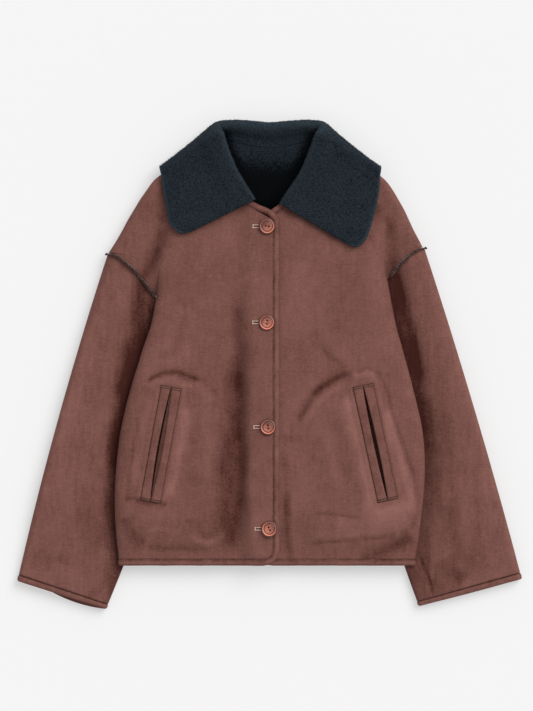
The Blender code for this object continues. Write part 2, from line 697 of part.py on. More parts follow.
def welt(side, which, finish):
    """One of the two strips that edge a pocket slit."""
    top, bottom, along, across = slit_frame(side)
    way = 1.0 if which == "outer" else -1.0
    sign = SIDES[side]["sign"]
    sections = []
    for share in np.linspace(0, 1, 11):
        centre = top + (bottom - top) * share
        gap = 0.3 + 2.5 * math.sin(math.pi * share) ** 0.8
        loop = []
        for reach in (gap, WELT_WIDTH * 0.5, WELT_WIDTH):
            u, y = centre + across * way * reach
            loop.append((sign * u, y, float(body_top(side, u, y)) + TRIM_GAP))
        for reach in (WELT_WIDTH - 0.5, WELT_WIDTH * 0.5, gap + 0.4):
            u, y = centre + across * way * reach
            loop.append((sign * u, y, float(body_top(side, u, y)) + TRIM_GAP + WELT_THICKNESS))
        sections.append(loop)
    return bar(f"pocket_welt_{side}_{which}", np.array(sections), finish)


def cut_slit(panel, side):
    """Cuts the pocket slit through the front."""
    top, bottom, along, across = slit_frame(side)
    sign = SIDES[side]["sign"]
    sections = []
    for share in np.linspace(0.02, 0.98, 9):
        centre = top + (bottom - top) * share
        half = 1.2 + 2.6 * math.sin(math.pi * share)
        loop = []
        for reach, z in ((-half, 20.0), (half, 20.0), (half, 60.0), (-half, 60.0)):
            u, y = centre + across * reach
            loop.append((sign * u, y, z))
        sections.append(loop)
    cutter = bar("slit_cutter_" + side, np.array(sections), panel.data.materials[0])
    cutter.hide_render = True
    cutter.display_type = "WIRE"
    cut = panel.modifiers.new("slit", "BOOLEAN")
    cut.operation = "DIFFERENCE"
    cut.object = cutter


def pocket_bag(side, finish):
    """The pocket's inner cloth: a shallow dish whose rim meets the inside of the front."""
    centre_u, centre_y, half_width, half_height = POCKET_BAG[side]
    sign = SIDES[side]["sign"]
    angles = np.linspace(0, 2 * math.pi, 18, endpoint=False)
    upper, lower = [], []
    for ring in (1.0, 0.93, 0.82, 0.5, 0.03):
        high, low = [], []
        for angle in angles:
            shape = (abs(math.cos(angle)) ** 3 + abs(math.sin(angle)) ** 3) ** (-1 / 3)
            u = centre_u + half_width * ring * shape * math.cos(angle)
            y = centre_y + half_height * ring * shape * math.sin(angle)
            depth = POCKET_DEPTH * float(smooth((1 - ring) / 0.2))
            z = float(body_top(side, u, y)) - CLOTH - 2.4 * TRIM_GAP - depth
            high.append((sign * u, y, z))
            low.append((sign * u, y, z - POCKET_CLOTH))
        upper.append(high)
        lower.append(low)
    return dish("pocket_bag_" + side, np.array(upper), np.array(lower), finish)


def dish(name, upper, lower, finish):
    """A wall whose rows are rings that close to a cap in the middle."""
    rows, around = upper.shape[:2]
    points = np.concatenate([upper.reshape(-1, 3), lower.reshape(-1, 3)])
    other, faces = rows * around, []
    for r in range(rows - 1):
        for k in range(around):
            j = (k + 1) % around
            quad = (r * around + k, r * around + j, (r + 1) * around + j, (r + 1) * around + k)
            faces.append(quad)
            faces.append(tuple(other + p for p in reversed(quad)))
    for k in range(around):
        j = (k + 1) % around
        faces.append((k, other + k, other + j, j))
    last = (rows - 1) * around
    faces.append(tuple(last + k for k in range(around)))
    faces.append(tuple(other + last + k for k in reversed(range(around))))
    return solid(name, points, faces, finish)


BUTTON_PROFILE = {
    "radius": (0.0, 8.5, 11.2, BUTTON_RADIUS, 11.3, 9.8, 8.4, 7.2, 0.0),
    "height": (0.0, 0.0, 0.9, 2.4, 4.1, BUTTON_THICKNESS, 4.0, 3.0, 2.8),
}
BUTTON_HOLE_RADIUS = 1.3
BUTTON_HOLE_PLACE = 2.4      # from the button's middle


def resting_height(x, y, supports):
    """The lowest base at which a button's underside clears the meshes that carry it."""
    base = 0.0
    for support in supports:
        corners = [tuple(v.co / MM) for v in support.data.vertices]
        tree = BVHTree.FromPolygons(corners, [tuple(p.vertices) for p in support.data.polygons])
        for radius, height in zip(BUTTON_PROFILE["radius"][:4], BUTTON_PROFILE["height"][:4]):
            for angle in np.linspace(0, 2 * math.pi, 32, endpoint=False):
                above = (x + radius * math.cos(angle), y + radius * math.sin(angle), 100.0)
                met = tree.ray_cast(above, (0.0, 0.0, -1.0))[0]
                if met is not None:
                    base = max(base, met.z - height)
    return base + SEAM_GAP


def button(number, place, supports, finish):
    """A two-hole button with a raised rim, lying on the right front and its binding."""
    x, y = place
    base = resting_height(x, y, supports)
    profile = tuple(zip(BUTTON_PROFILE["radius"], BUTTON_PROFILE["height"]))
    around = 16
    points, faces = [(x, y, base)], []
    for radius, height in profile[1:-1]:
        for k in range(around):
            angle = 2 * math.pi * k / around
            points.append((x + radius * math.cos(angle), y + radius * math.sin(angle), base + height))
    points.append((x, y, base + profile[-1][1]))
    rings = len(profile) - 2
    for k in range(around):
        j = (k + 1) % around
        faces.append((0, 1 + j, 1 + k))
        for r in range(rings - 1):
            a, b = 1 + r * around, 1 + (r + 1) * around
            faces.append((a + k, a + j, b + j, b + k))
        top = 1 + (rings - 1) * around
        faces.append((top + k, top + j, len(points) - 1))
    made = solid(f"button_{number}", points, faces, finish)
    for way in (-1, 1):
        middle_y = y + way * BUTTON_HOLE_PLACE
        angles = np.linspace(0, 2 * math.pi, 6, endpoint=False)
        hole = [[(x + BUTTON_HOLE_RADIUS * math.cos(a), middle_y + BUTTON_HOLE_RADIUS * math.sin(a), base + z)
                 for a in angles] for z in (-2.0, 8.0)]
        cutter = bar(f"button_{number}_hole_{way + 1}", np.array(hole), finish)
        cutter.hide_render = True
        cutter.display_type = "WIRE"
        cut = made.modifiers.new(f"hole_{way + 1}", "BOOLEAN")
        cut.operation = "DIFFERENCE"
        cut.object = cutter
    return made


# ---- the collar ----

HOOK_POINTS = 6
FALL_SHARES = (0.12, 0.26, 0.42, 0.6, 0.8, 1.0)
FRONT_SHARES = (0, 0.06, 0.13, 0.22, 0.36, 0.52, 0.68, 0.84, 1.0)
BACK_SHARES = (0, 0.15, 0.33, 0.55, 0.78, 1.0)
SHOULDER_TURNS = (55, 25, -5, -35, -62)


def collar_front_path(side, share):
    """The collar's suede face over one front: from the neck seam round the fold to its outer edge."""
    roll, edge = collar_line(side, share)
    width = np.linalg.norm(edge - roll)
    along = (edge - roll) / width
    depth = HOOK_DEPTH[0] + (HOOK_DEPTH[1] - HOOK_DEPTH[0]) * share
    tall = HOOK_HEIGHT[0] + (HOOK_HEIGHT[1] - HOOK_HEIGHT[0]) * share
    neck = roll + along * depth
    seam_z = float(one_sheet(side, neck[0], neck[1]))
    fall_gap = LAYER_GAP * (1.5 + (1 - share) ** 2)
    path = []
    for bend in np.radians(np.linspace(-90, 90, HOOK_POINTS)):
        d = depth - (depth - COLLAR_CLOTH) * math.cos(bend)
        path.append((*(roll + along * d), seam_z + tall / 2 * (1 + math.sin(bend))))
    for part in FALL_SHARES:
        d = depth + (width - depth) * part
        u, y = roll + along * d
        lift = tall * (1 - float(smooth((d - depth) / 34)))
        path.append((u, y, float(one_sheet(side, u, y)) + fall_gap + lift))
    return np.array(path)


def collar_back_path(share):
    """The same at the back, where the fold stands up and the fall lies under the body."""
    take = lambda column: float(through(COLLAR_BACK["share"], COLLAR_BACK[column], share))
    roll = np.array([take("roll"), take("roll_y")])
    neck = np.array([take("neck"), take("neck_y")])
    edge = np.array([take("edge"), take("edge_y")])
    width = np.linalg.norm(edge - roll)
    fall, stand = (edge - roll) / width, neck - roll
    turn = stand / np.linalg.norm(stand) * (COLLAR_CLOTH + 2.5)
    top = COLLAR_ROLL_HEIGHT
    rise = top - COLLAR_LIFT
    path = [(*neck, COLLAR_LIFT), (*(roll + stand * 0.66), COLLAR_LIFT + 0.3 * rise),
            (*(roll + stand * 0.42), COLLAR_LIFT + 0.8 * rise), (*(roll + turn), top),
            (*(roll + fall * (COLLAR_CLOTH + 0.2)), top - 5.0),
            (*(roll + fall * (COLLAR_CLOTH + 1.2)), COLLAR_CLOTH + 4.0)]
    start = COLLAR_CLOTH + 4.0
    for part in FALL_SHARES:
        path.append((*(roll + fall * (start + (width - start) * part)), COLLAR_CLOTH))
    return np.array(path)


def collar_shoulder_path(front, back):
    """The same on top of the shoulder, where the collar stands on edge between front and back."""
    roll, edge, neck = (np.array(COLLAR_CORNER[k], float) for k in ("roll", "edge", "neck"))
    width = np.linalg.norm(edge - roll)
    along = (edge - roll) / width
    inward = np.array([along[1], -along[0]])
    depth, gap = (neck - roll) @ along, (neck - roll) @ inward - COLLAR_CLOTH
    path = []
    for k, bend in enumerate(np.radians(np.linspace(-90, 90, HOOK_POINTS))):
        d = depth - (depth - COLLAR_CLOTH) * math.cos(bend)
        q = COLLAR_CLOTH + gap / 2 * (1 - math.sin(bend))
        path.append((*(roll + along * d + inward * q), (front[k, 2] + back[k, 2]) / 2))
    for k, part in enumerate(FALL_SHARES, HOOK_POINTS):
        d = depth + (width - depth) * part
        path.append((*(roll + along * d + inward * COLLAR_CLOTH), (front[k, 2] + back[k, 2]) / 2))
    return np.array(path)


def collar_half(side):
    """Rows of the suede face from the front end to the centre back, with the neck seam's directions."""
    rows = [collar_front_path(side, s) for s in FRONT_SHARES]
    back = [collar_back_path(s) for s in BACK_SHARES]
    seams = [(0.0, 0.0, -1.0)] * len(rows)
    front_last, back_first = rows[-1], back[0]
    centre, half = (front_last + back_first) / 2, (front_last - back_first) / 2
    beyond = collar_shoulder_path(front_last, back_first) - centre
    for angle in np.radians(SHOULDER_TURNS):
        rows.append(centre + half * math.sin(angle) + beyond * math.cos(angle))
        seams.append((-math.cos(angle), 0.0, -math.sin(angle)))
    seams += [(0.0, 0.0, 1.0)] * len(back)
    sign = np.array((SIDES[side]["sign"], 1, 1))
    return np.array(rows + back) * sign, np.array(seams) * sign


def grid_normals(grid):
    """Unit normals of a grid of points."""
    down = np.gradient(grid, axis=0)
    across = np.gradient(grid, axis=1)
    normal = np.cross(down, across)
    return normal / np.linalg.norm(normal, axis=2)[:, :, None]


def collar(finish):
    right, right_seams = collar_half("right")
    left, left_seams = collar_half("left")
    suede = np.concatenate([right, left[::-1][1:]])
    seams = np.concatenate([right_seams, left_seams[::-1][1:]])
    normal = grid_normals(suede)
    if normal[0, -4, 2] < 0:
        normal = -normal
    normal[:, 0] = seams
    fleece = suede + normal * COLLAR_CLOTH
    fleece[:, :, 2] = np.maximum(fleece[:, :, 2], 0.0)
    return wall("collar", fleece, suede, finish)


def build():
    for old in list(bpy.data.objects):
        bpy.data.objects.remove(old)
    suede = material("brown_suede", (0.19, 0.085, 0.07), 0.85)
    edging = material("brown_binding", (0.17, 0.075, 0.062), 0.8)
    fleece = material("teal_fleece", (0.016, 0.025, 0.034), 0.95)
    horn = material("brown_button", (0.33, 0.12, 0.085), 0.35)
    back_panel(suede)
    for side in SIDES:
        panel = front_panel(side, suede)
        cut_slit(panel, side)
        sleeve(side, suede)
        cuff_binding(side, edging)
        front_binding(side, edging)
        armhole_ridge(side, fleece)
        for which in ("outer", "inner"):
            welt(side, which, edging)
        pocket_bag(side, suede)
    back_binding(edging)
    collar(fleece)
    supports = [bpy.data.objects["front_right"], bpy.data.objects["front_binding_right"]]
    for number, place in enumerate(BUTTON_PLACES, 1):
        button(number, place, supports, horn)


build()
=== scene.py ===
"""The looks of a buttoned suede jacket with a fleece collar that lies flat on its back.

Every piece is made over the fixed frame: its form comes from the same tables of sizes as the frame's
own piece, at a finer spacing, with creases, pile, seams and stitches added. Sizes are in millimetres
and become metres where a mesh is made. +X is to the viewer's right, +Y runs from the hem to the collar
and +Z from the surface up. "Lateral" is the distance out from the centre line; the wearer's right is
at -X.
"""
import math

import bpy
import mathutils
import numpy as np
from bpy.props import FloatProperty, FloatVectorProperty, PointerProperty
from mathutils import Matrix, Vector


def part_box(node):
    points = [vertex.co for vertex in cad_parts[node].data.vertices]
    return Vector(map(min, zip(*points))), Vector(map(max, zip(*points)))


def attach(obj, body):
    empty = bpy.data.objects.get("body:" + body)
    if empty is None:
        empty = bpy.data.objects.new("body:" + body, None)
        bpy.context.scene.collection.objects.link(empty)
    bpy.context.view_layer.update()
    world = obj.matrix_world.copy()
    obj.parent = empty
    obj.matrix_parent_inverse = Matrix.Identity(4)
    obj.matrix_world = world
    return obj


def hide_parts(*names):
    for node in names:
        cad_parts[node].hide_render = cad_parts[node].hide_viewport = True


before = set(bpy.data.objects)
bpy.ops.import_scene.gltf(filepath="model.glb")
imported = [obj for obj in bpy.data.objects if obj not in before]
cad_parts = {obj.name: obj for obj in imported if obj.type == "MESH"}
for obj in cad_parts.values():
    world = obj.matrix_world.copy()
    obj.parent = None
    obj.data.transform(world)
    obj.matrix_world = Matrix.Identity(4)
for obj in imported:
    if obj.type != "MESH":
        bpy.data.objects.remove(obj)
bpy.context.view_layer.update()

bl_info = {
    "name": "Suede jacket laid flat",
    "version": (1, 0, 0),
    "blender": (4, 5, 0),
    "location": "3D View > Sidebar > Jacket",
    "description": "Makes the cloth, fleece, bindings, pockets, buttons and stitching of a jacket",
    "category": "Add Mesh",
}

MM = 0.001
CLOTH = 3.0            # bonded suede and fleece
COLLAR_CLOTH = 5.0     # the same cloth with its pile standing
SEAM_GAP = 0.4         # between two pieces that are sewn edge to edge
LAYER_GAP = 1.2        # between cloth that lies on other cloth
TRIM_GAP = 0.7         # between a panel and what is sewn onto it

HEM_Y = -302.0
BINDING_WIDTH = 10.0
PANEL_HEM_Y = HEM_Y + BINDING_WIDTH     # where the cloth ends and its binding begins
BINDING_SWELL = 0.8    # how far a binding stands out of the cloth that it edges
CUFF_BINDING_SHARE = 0.019     # of the sleeve's length
LAP_RAISE = CLOTH + BINDING_SWELL + 2.2      # how far the upper front stands over the lower one
FRONT_EDGE = {"right": 14.5, "left": 20.0}   # how far each front laps past the centre line
FRONT_CORNER_RADIUS = 25.0
NECK_CORNER = {
    "right": {"y": (208, 214, 218, 231.5, 234.7, 243.4), "lateral": (-4.5, -4.1, -2.6, 22, 28, 30.4)},
    "left": {"y": (204, 209.5, 213, 222.9, 232.9, 236.9), "lateral": (-10, -9.6, -8, 5.8, 19.8, 21)},
}

# Heights of the outer face, and how wide it rolls down at the shoulder and at the side.
BODY_HEIGHT = 38.0
HEM_HEIGHT = 25.0
SHOULDER_HEIGHT = 27.0
SHOULDER_ROLL = 11.0
SIDE_ROLL = 20.0
SLEEVE_HIGH = (24.0, 16.0)      # a sleeve's height in the open, along the arm and at the cuff
SLEEVE_LOW = (12.0, 12.0)       # and pressed under the body
OUTER_FOLD = 0.054     # as shares of the sleeve's width
INNER_FOLD = 0.034
CAP_BULGE = 19.0       # of the sleeve past a straight line across the armhole
SEAM_LAP = 3.0         # how far the sleeve runs in under the armhole's seam
NECK_GAP = 1.0         # between the neckline and the collar
SEAM_HOLD = 9.0        # how far from a seam the cloth is held flat

SIDES = {
    "right": {
        "sign": -1, "shoulder_tip": (243, 166), "underarm": (118, 4), "cuff_outer": (379.0, -325),
        "cuff_inner": (246, -367.3), "outer_bow": 6, "inner_bow": -7, "fold_share": 0.47,
    },
    "left": {
        "sign": 1, "shoulder_tip": (232, 175), "underarm": (115, 4), "cuff_outer": (378.6, -322),
        "cuff_inner": (224, -363), "outer_bow": 4, "inner_bow": -7, "fold_share": 0.33,
    },
}
BODY_EDGE = {
    "y":     (-300, -225, -160, -100, -40, 20, 60, 100, 130, 160, 230, 360),
    "right": (226, 232, 230.5, 223.5, 209.5, 191.5, 178, 170.5, 167, 163, 155, 150),
    "left":  (217, 227.5, 232.5, 229, 216, 200, 189, 181, 176, 170, 158, 150),
}
SIDE_SEAM = {
    "y":       (-300, -225, -160, -100, -70, -40, -16, 4),
    "lateral": (206, 210, 200, 165, 142, 122, 112, 110),
}
SHOULDER_LINE = {
    "y":     (166, 172, 187, 202, 217, 232, 247, 262, 277, 298, 313, 328, 343, 350),
    "right": (243, 239, 229.5, 221, 213, 204, 195, 184.5, 173, 145, 127, 107, 87.5, 78.5),
    "left":  (236, 232, 224, 216, 209, 202, 193.5, 184.5, 173, 145, 127, 107, 87.5, 78.5),
}
COLLAR_FRONT = {
    "share":        (0, 0.12, 0.25, 0.5, 0.75, 1),
    "right_roll":   (21, 29, 37, 51, 62, 69),
    "right_roll_y": (247, 260, 273, 298, 325, 349),
    "right_edge":   (117, 133, 146, 154, 160, 163),
    "right_edge_y": (199, 196, 206, 234, 263, 286),
    "left_roll":    (14, 22, 31, 46.5, 59, 68),
    "left_roll_y":  (241, 254, 267, 292, 322, 348),
    "left_edge":    (104, 126, 140, 155, 163.5, 166),
    "left_edge_y":  (187, 176, 182, 222, 259, 287),
}
COLLAR_CORNER = {"roll": (78, 364), "edge": (164.6, 297.5), "neck": (91.5, 341.6)}
COLLAR_BACK = {
    "share":  (0, 0.35, 0.7, 1),
    "roll":   (70, 52, 28, 0),
    "roll_y": (364.5, 366.5, 366, 363.5),
    "neck":   (77, 60, 32, 0),
    "neck_y": (341.6, 337, 329, 325),
    "edge":   (158, 122, 62, 0),
    "edge_y": (284, 271, 264, 262),
}
COLLAR_LIFT = COLLAR_CLOTH + LAYER_GAP
HOOK_DEPTH = (8.0, 13.0)     # fold line to neck seam, at the front end and at the shoulder
HOOK_HEIGHT = (5.0, 9.0)     # how high the fold stands there over the neck seam
COLLAR_ROLL_HEIGHT = 21.0    # of the fold at the back
TOP_ROW_Y = 340.6            # where the fronts and the back end at the neck

BUTTON_PLACES = ((-4, 207), (-4.4, 63), (-2.7, -93.5), (-0.8, -246))
POCKET_SLIT = {"right": ((147.5, -34.5), (178.5, -204.5)), "left": ((139.5, -32), (176.5, -203))}
SLIT_OPEN = {"right": 3.9, "left": 2.5}      # how far each welt stands back from the slit's middle
WELT_WIDTH = 15.6
POCKET_BAG = {"right": (140, -137, 66, 112), "left": (137, -137, 74, 112)}
POCKET_DEPTH = 8.0
POCKET_CLOTH = 1.6

# The spacing of the points in the cloth's meshes.
ROW_STEP = 2.8
FRONT_COLUMNS = (92, 58)      # across the front and round its side
BACK_COLUMNS = 78             # from the centre line out
BACK_NECK_ROWS = 84           # from the shoulder's tip up
SLEEVE_STATIONS = 176
SLEEVE_COLUMNS = (42, 9, 58)  # along the underside, round a fold and over the top

UP = (0.0, 0.0, 1.0)
TO_HEM = (0.0, -1.0, 0.0)


# ---- curves ----

def smooth(share):
    """0 below 0, 1 above 1 and an even rise between."""
    share = np.clip(share, 0.0, 1.0)
    return share * share * (3 - 2 * share)


def hump(distance, width):
    return np.exp(-np.square(np.asarray(distance) / width))


def between(ends, share):
    return ends[0] + (ends[1] - ends[0]) * share


def through(xs, ys, at):
    """A smooth curve through a table's rows."""
    xs, ys = np.asarray(xs, float), np.asarray(ys, float)
    slopes = np.gradient(ys, xs)
    at = np.clip(at, xs[0], xs[-1])
    i = np.clip(np.searchsorted(xs, at) - 1, 0, len(xs) - 2)
    step = xs[i + 1] - xs[i]
    t = (at - xs[i]) / step
    return ((1 + 2 * t) * (1 - t) ** 2 * ys[i] + t * (1 - t) ** 2 * step * slopes[i]
            + t * t * (3 - 2 * t) * ys[i + 1] - t * t * (1 - t) * step * slopes[i + 1])


def quarter(share):
    """A quarter circle's rise, from 0 to 1."""
    return np.sqrt(np.clip(1 - (1 - np.clip(share, 0, 1)) ** 2, 0, 1))


def full_turn(count, start=0.0):
    """Angles evenly round a circle."""
    return start + np.linspace(0, 2 * math.pi, count, endpoint=False)


def spread(points, count, bend=3.0):
    """A line again with count points, closer together where it bends: bend is a radian's worth in mm."""
    apart = np.linalg.norm(np.diff(points[:, :2], axis=0), axis=1) > 1e-4
    points = points[np.r_[True, apart]]
    step = np.diff(points, axis=0)
    heading = np.unwrap(np.arctan2(step[:, 1], step[:, 0]))
    turn = np.r_[0, np.abs(np.diff(heading))]
    along = np.r_[0, np.cumsum(np.linalg.norm(step[:, :2], axis=1) + bend * turn)]
    at = np.linspace(0, along[-1], count)
    return np.stack([np.interp(at, along, points[:, k]) for k in range(points.shape[1])], axis=1)


def distances(points):
    """How far along a line each of its points lies."""
    return np.r_[0, np.cumsum(np.linalg.norm(np.diff(points, axis=0), axis=1))]


def denser(points, count):
    """A smooth line through points of any width, again with count points evenly along it."""
    along = distances(points[:, :3])
    at = np.linspace(0, along[-1], count)
    return np.stack([through(along, column, at) for column in points.T], axis=1)


def unit(vectors):
    return vectors / np.maximum(np.linalg.norm(vectors, axis=-1, keepdims=True), 1e-9)


def repeated(vector, like):
    """The same vector for each of the points."""
    return np.tile(vector, (len(like), 1))


def stops(*ends, step=ROW_STEP):
    """Numbers from the first end to the last, about a step apart, that take in each end between."""
    parts = [np.linspace(a, b, max(2, 1 + math.ceil(abs(b - a) / step)))[:-1]
             for a, b in zip(ends, ends[1:])]
    return np.r_[np.concatenate(parts), ends[-1]]


# ---- chance, the same in each run ----

def chance(*cells, seed=0):
    """A number from 0 to 1 for each cell of a grid of whole numbers."""
    mixed = np.full(np.shape(cells[0]), 40503 * (seed + 1), np.int64)
    for cell, prime in zip(cells, (374761393, 668265263, 2147483647)):
        mixed = (mixed + np.asarray(cell).astype(np.int64) * prime) & 0xFFFFFFFF
        mixed = ((mixed ^ (mixed >> 15)) * 2246822519) & 0xFFFFFFFF
    mixed = ((mixed ^ (mixed >> 13)) * 3266489917) & 0xFFFFFFFF
    return ((mixed ^ (mixed >> 16)) & 0xFFFFFF) / float(0xFFFFFF)


def drift(x, y, size, seed=0):
    """Smooth random hills about size mm across, from -1 to 1."""
    x, y = np.asarray(x, float) / size, np.asarray(y, float) / size
    a, b = np.floor(x), np.floor(y)
    s, t = smooth(x - a), smooth(y - b)
    low = chance(a, b, seed=seed) * (1 - s) + chance(a + 1, b, seed=seed) * s
    high = chance(a, b + 1, seed=seed) * (1 - s) + chance(a + 1, b + 1, seed=seed) * s
    return 2 * (low * (1 - t) + high * t) - 1


def curls(points, size, seed=0):
    """Domes about size mm across that meet in narrow gaps, as curls of pile do, from 0 to 1."""
    cell = np.floor(points / size)
    nearest = np.full(points.shape[:-1], 9.0)
    for shift in np.ndindex(3, 3, 3):
        there = cell + np.array(shift) - 1
        parts = [there[..., k] for k in range(3)]
        place = np.stack([chance(*parts, seed=seed + 7 * k + 1) for k in range(3)], axis=-1)
        apart = np.linalg.norm((there + 0.15 + 0.7 * place) - points / size, axis=-1)
        nearest = np.minimum(nearest, apart)
    return np.clip(1 - (nearest / 0.85) ** 2, 0, 1)


# ---- where the layers lie ----

def body_edge(side, y):
    return through(BODY_EDGE["y"], BODY_EDGE[side], y)


def shoulder_line(side, y):
    return through(SHOULDER_LINE["y"], SHOULDER_LINE[side], y)


def sleeve_edges(side, v):
    """The sleeve's outer and inner edge at v, from the cuff (0) to the armhole (1)."""
    size, v = SIDES[side], np.asarray(v, float)[..., None]
    bow = 4 * v * (1 - v) * np.array([1.0, 0.0])
    outer = np.array(size["cuff_outer"]) * (1 - v) + np.array(size["shoulder_tip"]) * v
    inner = np.array(size["cuff_inner"]) * (1 - v) + np.array(size["underarm"]) * v
    return outer + bow * size["outer_bow"], inner + bow * size["inner_bow"]


def armhole_cap(side, s):
    """How far the sleeve's cap bulges past the straight line from shoulder to underarm, as a vector."""
    tip, pit = (np.array(SIDES[side][k], float) for k in ("shoulder_tip", "underarm"))
    along = (pit - tip) / np.linalg.norm(pit - tip)
    toward_neck = np.array([along[1], -along[0]])
    share = np.clip(np.asarray(s, float), 0, 1) ** 0.62
    return np.sin(math.pi * share)[..., None] * CAP_BULGE * toward_neck, toward_neck


def sleeve_plan(side, s, v, lap=0.0):
    """The point a share s of the way over the sleeve from its outer to its inner edge."""
    outer, inner = sleeve_edges(side, v)
    cap, toward_neck = armhole_cap(side, s)
    rise = smooth((np.asarray(v, float) - 0.6) / 0.4)[..., None]
    s = np.asarray(s, float)[..., None]
    return outer * (1 - s) + inner * s + cap * rise + np.asarray(lap)[..., None] * toward_neck


def armhole(side, s):
    return sleeve_plan(side, np.asarray(s, float), np.ones_like(np.asarray(s, float)))


def inside_sleeve(side, u, y):
    """How far a point lies past the sleeve's inner edge, towards the centre line."""
    low, high = np.full(np.shape(u), -0.3), np.full(np.shape(u), 1.4)
    for _ in range(18):
        v = (low + high) / 2
        outer, inner = sleeve_edges(side, v)
        across = inner - outer
        beyond = across[..., 0] * (y - outer[..., 1]) - across[..., 1] * (u - outer[..., 0]) < 0
        low, high = np.where(beyond, v, low), np.where(beyond, high, v)
    outer, inner = sleeve_edges(side, (low + high) / 2)
    across = inner - outer
    width = np.linalg.norm(across, axis=-1)
    along = ((u - outer[..., 0]) * across[..., 0] + (y - outer[..., 1]) * across[..., 1]) / width
    return along - width


def sleeve_top(side, u, y):
    """The height of the sleeve's upper face: pressed low under the body, full outside it."""
    near_cuff = smooth((-190 - y) / 130)
    low = between(SLEEVE_LOW, near_cuff) + 10 * smooth((y - 110) / 90)
    high = between(SLEEVE_HIGH, near_cuff)
    return low + (high - low) * smooth((u - body_edge(side, y) + 8) / 52)


def collar_lift(u, y):
    """How far the back of the collar, which lies under the body, raises it."""
    edge_y = COLLAR_BACK["edge_y"][-1] + 18 * (u / 158) ** 2
    return COLLAR_LIFT * smooth((y - edge_y + 33) / 20)


def under_body(side, u, y):
    """The underside of the body's lower cloth: over the sleeve, and down to the surface past it."""
    past = inside_sleeve(side, u, y)
    return (sleeve_top(side, u, y) + LAYER_GAP) * (1 - smooth((past - 1) / 20)) * smooth((-y - 6) / 14)


def plateau(x, y):
    """The height of the fronts' outer face between the centre and the side rolls."""
    height = BODY_HEIGHT + (HEM_HEIGHT - BODY_HEIGHT) * smooth((-215 - y) / 85)
    height = height + (SHOULDER_HEIGHT - BODY_HEIGHT) * smooth((y - 110) / 190)
    low_half = smooth((110 - y) / 120)
    height = height - 7 * hump(x + 47, 17) * low_half * (1 - 0.6 * smooth((-215 - y) / 80))
    height = height + 3.5 * hump(x + 165, 34) * hump(y + 110, 110)
    height = height + 3.5 * hump(x - 160, 40) * hump(y + 120, 110)
    height = height + 2.0 * hump(x + 12, 20) * low_half
    height = height - 2.5 * hump(x - 42, 20) * smooth((40 - y) / 120)
    return height - 2.0 * hump(x - 75 + 0.5 * (y - 20), 14) * hump(y - 5, 45)


def front_lap(side, x):
    """The right front lies on the left one, so it is a layer higher where they lap."""
    if side == "left":
        return 0.0
    return LAP_RAISE * smooth((x + FRONT_EDGE["left"] + 32) / 30)


def silhouette(side, y):
    """The lateral of the outline: the shoulder above its tip and the sleeve's outer edge below."""
    tip_u, tip_y = SIDES[side]["shoulder_tip"]
    cuff_u, cuff_y = SIDES[side]["cuff_outer"]
    sleeve_line = tip_u + (cuff_u - tip_u) * (tip_y - y) / (tip_y - cuff_y)
    return np.where(y > tip_y, shoulder_line(side, y), sleeve_line)


def one_sheet(side, u, y):
    """The front's outer face where it is one sheet: the body, the crease beside it and the shoulder."""
    size = SIDES[side]
    x = size["sign"] * u
    fold_y = armhole(side, size["fold_share"])[1]
    edge = body_edge(side, y)
    body = plateau(x, y) + front_lap(side, x)
    shoulder = sleeve_top(side, u, y)
    steep = 1 - quarter(1 - (u - edge + SIDE_ROLL) / SIDE_ROLL)
    gentle = smooth((u - edge + 22) / 48)
    rise = smooth((y - fold_y) / 50)
    drop = (1 - rise) * np.where(u > edge, 1.0, steep) + rise * gentle
    return body + (shoulder - body) * drop * (1 - smooth((y - 215) / 60))


def shoulder_middle(side, y):
    """The height of the shoulder seam, half way down the shoulder's roll."""
    u = silhouette(side, y) - SHOULDER_ROLL
    return (one_sheet(side, u, y) + collar_lift(u, y)) / 2


def rolled_sheet(side, u, y):
    """The same, rolled down to the shoulder seam near the outline."""
    middle = shoulder_middle(side, y) + SEAM_GAP / 2
    share = quarter((silhouette(side, y) - u) / SHOULDER_ROLL)
    return middle + (one_sheet(side, u, y) - middle) * share


def body_top(side, u, y):
    x = SIDES[side]["sign"] * np.asarray(u, float)
    return plateau(x, y) + front_lap(side, x)


# ---- the edges and sections of the panels ----

def collar_line(side, share):
    """The collar's fold line and edge points at a share of its way from the front end to the shoulder."""
    take = lambda column: through(COLLAR_FRONT["share"], COLLAR_FRONT[side + column], share)
    roll = np.stack([take("_roll"), take("_roll_y")], axis=-1)
    edge = np.stack([take("_edge"), take("_edge_y")], axis=-1)
    return roll, edge


def neck_points(side):
    """The neck seam on the front, from the front end to the shoulder."""
    share = np.linspace(0, 1, 9)
    roll, edge = collar_line(side, share)
    return roll + unit(edge - roll) * between(HOOK_DEPTH, share)[:, None]


def front_start(side, y):
    """Where the front's cloth begins, as a signed lateral: its front edge, corners and neckline."""
    corner_table = NECK_CORNER[side]
    if y <= corner_table["y"][0]:
        radius = FRONT_CORNER_RADIUS - BINDING_WIDTH
        lap = -(FRONT_EDGE[side] - BINDING_WIDTH)
        return float(lap + radius * (1 - quarter((y - PANEL_HEM_Y) / radius)))
    if y <= corner_table["y"][-1]:
        return float(np.interp(y, corner_table["y"], corner_table["lateral"])) + SEAM_GAP
    neck = neck_points(side)
    return float(np.interp(y, neck[:, 1], neck[:, 0])) + NECK_GAP


def armhole_lateral(side, y):
    points = armhole(side, np.linspace(1, 0, 200))
    return float(np.interp(y, points[:, 1], points[:, 0]))


def side_seam(side, y):
    """The lateral of the seam that the front and the back share at y."""
    if y < SIDES[side]["underarm"][1] - 1:
        return float(through(SIDE_SEAM["y"], SIDE_SEAM["lateral"], y))
    if y <= SIDES[side]["shoulder_tip"][1]:
        return armhole_lateral(side, y)
    return float(shoulder_line(side, y))


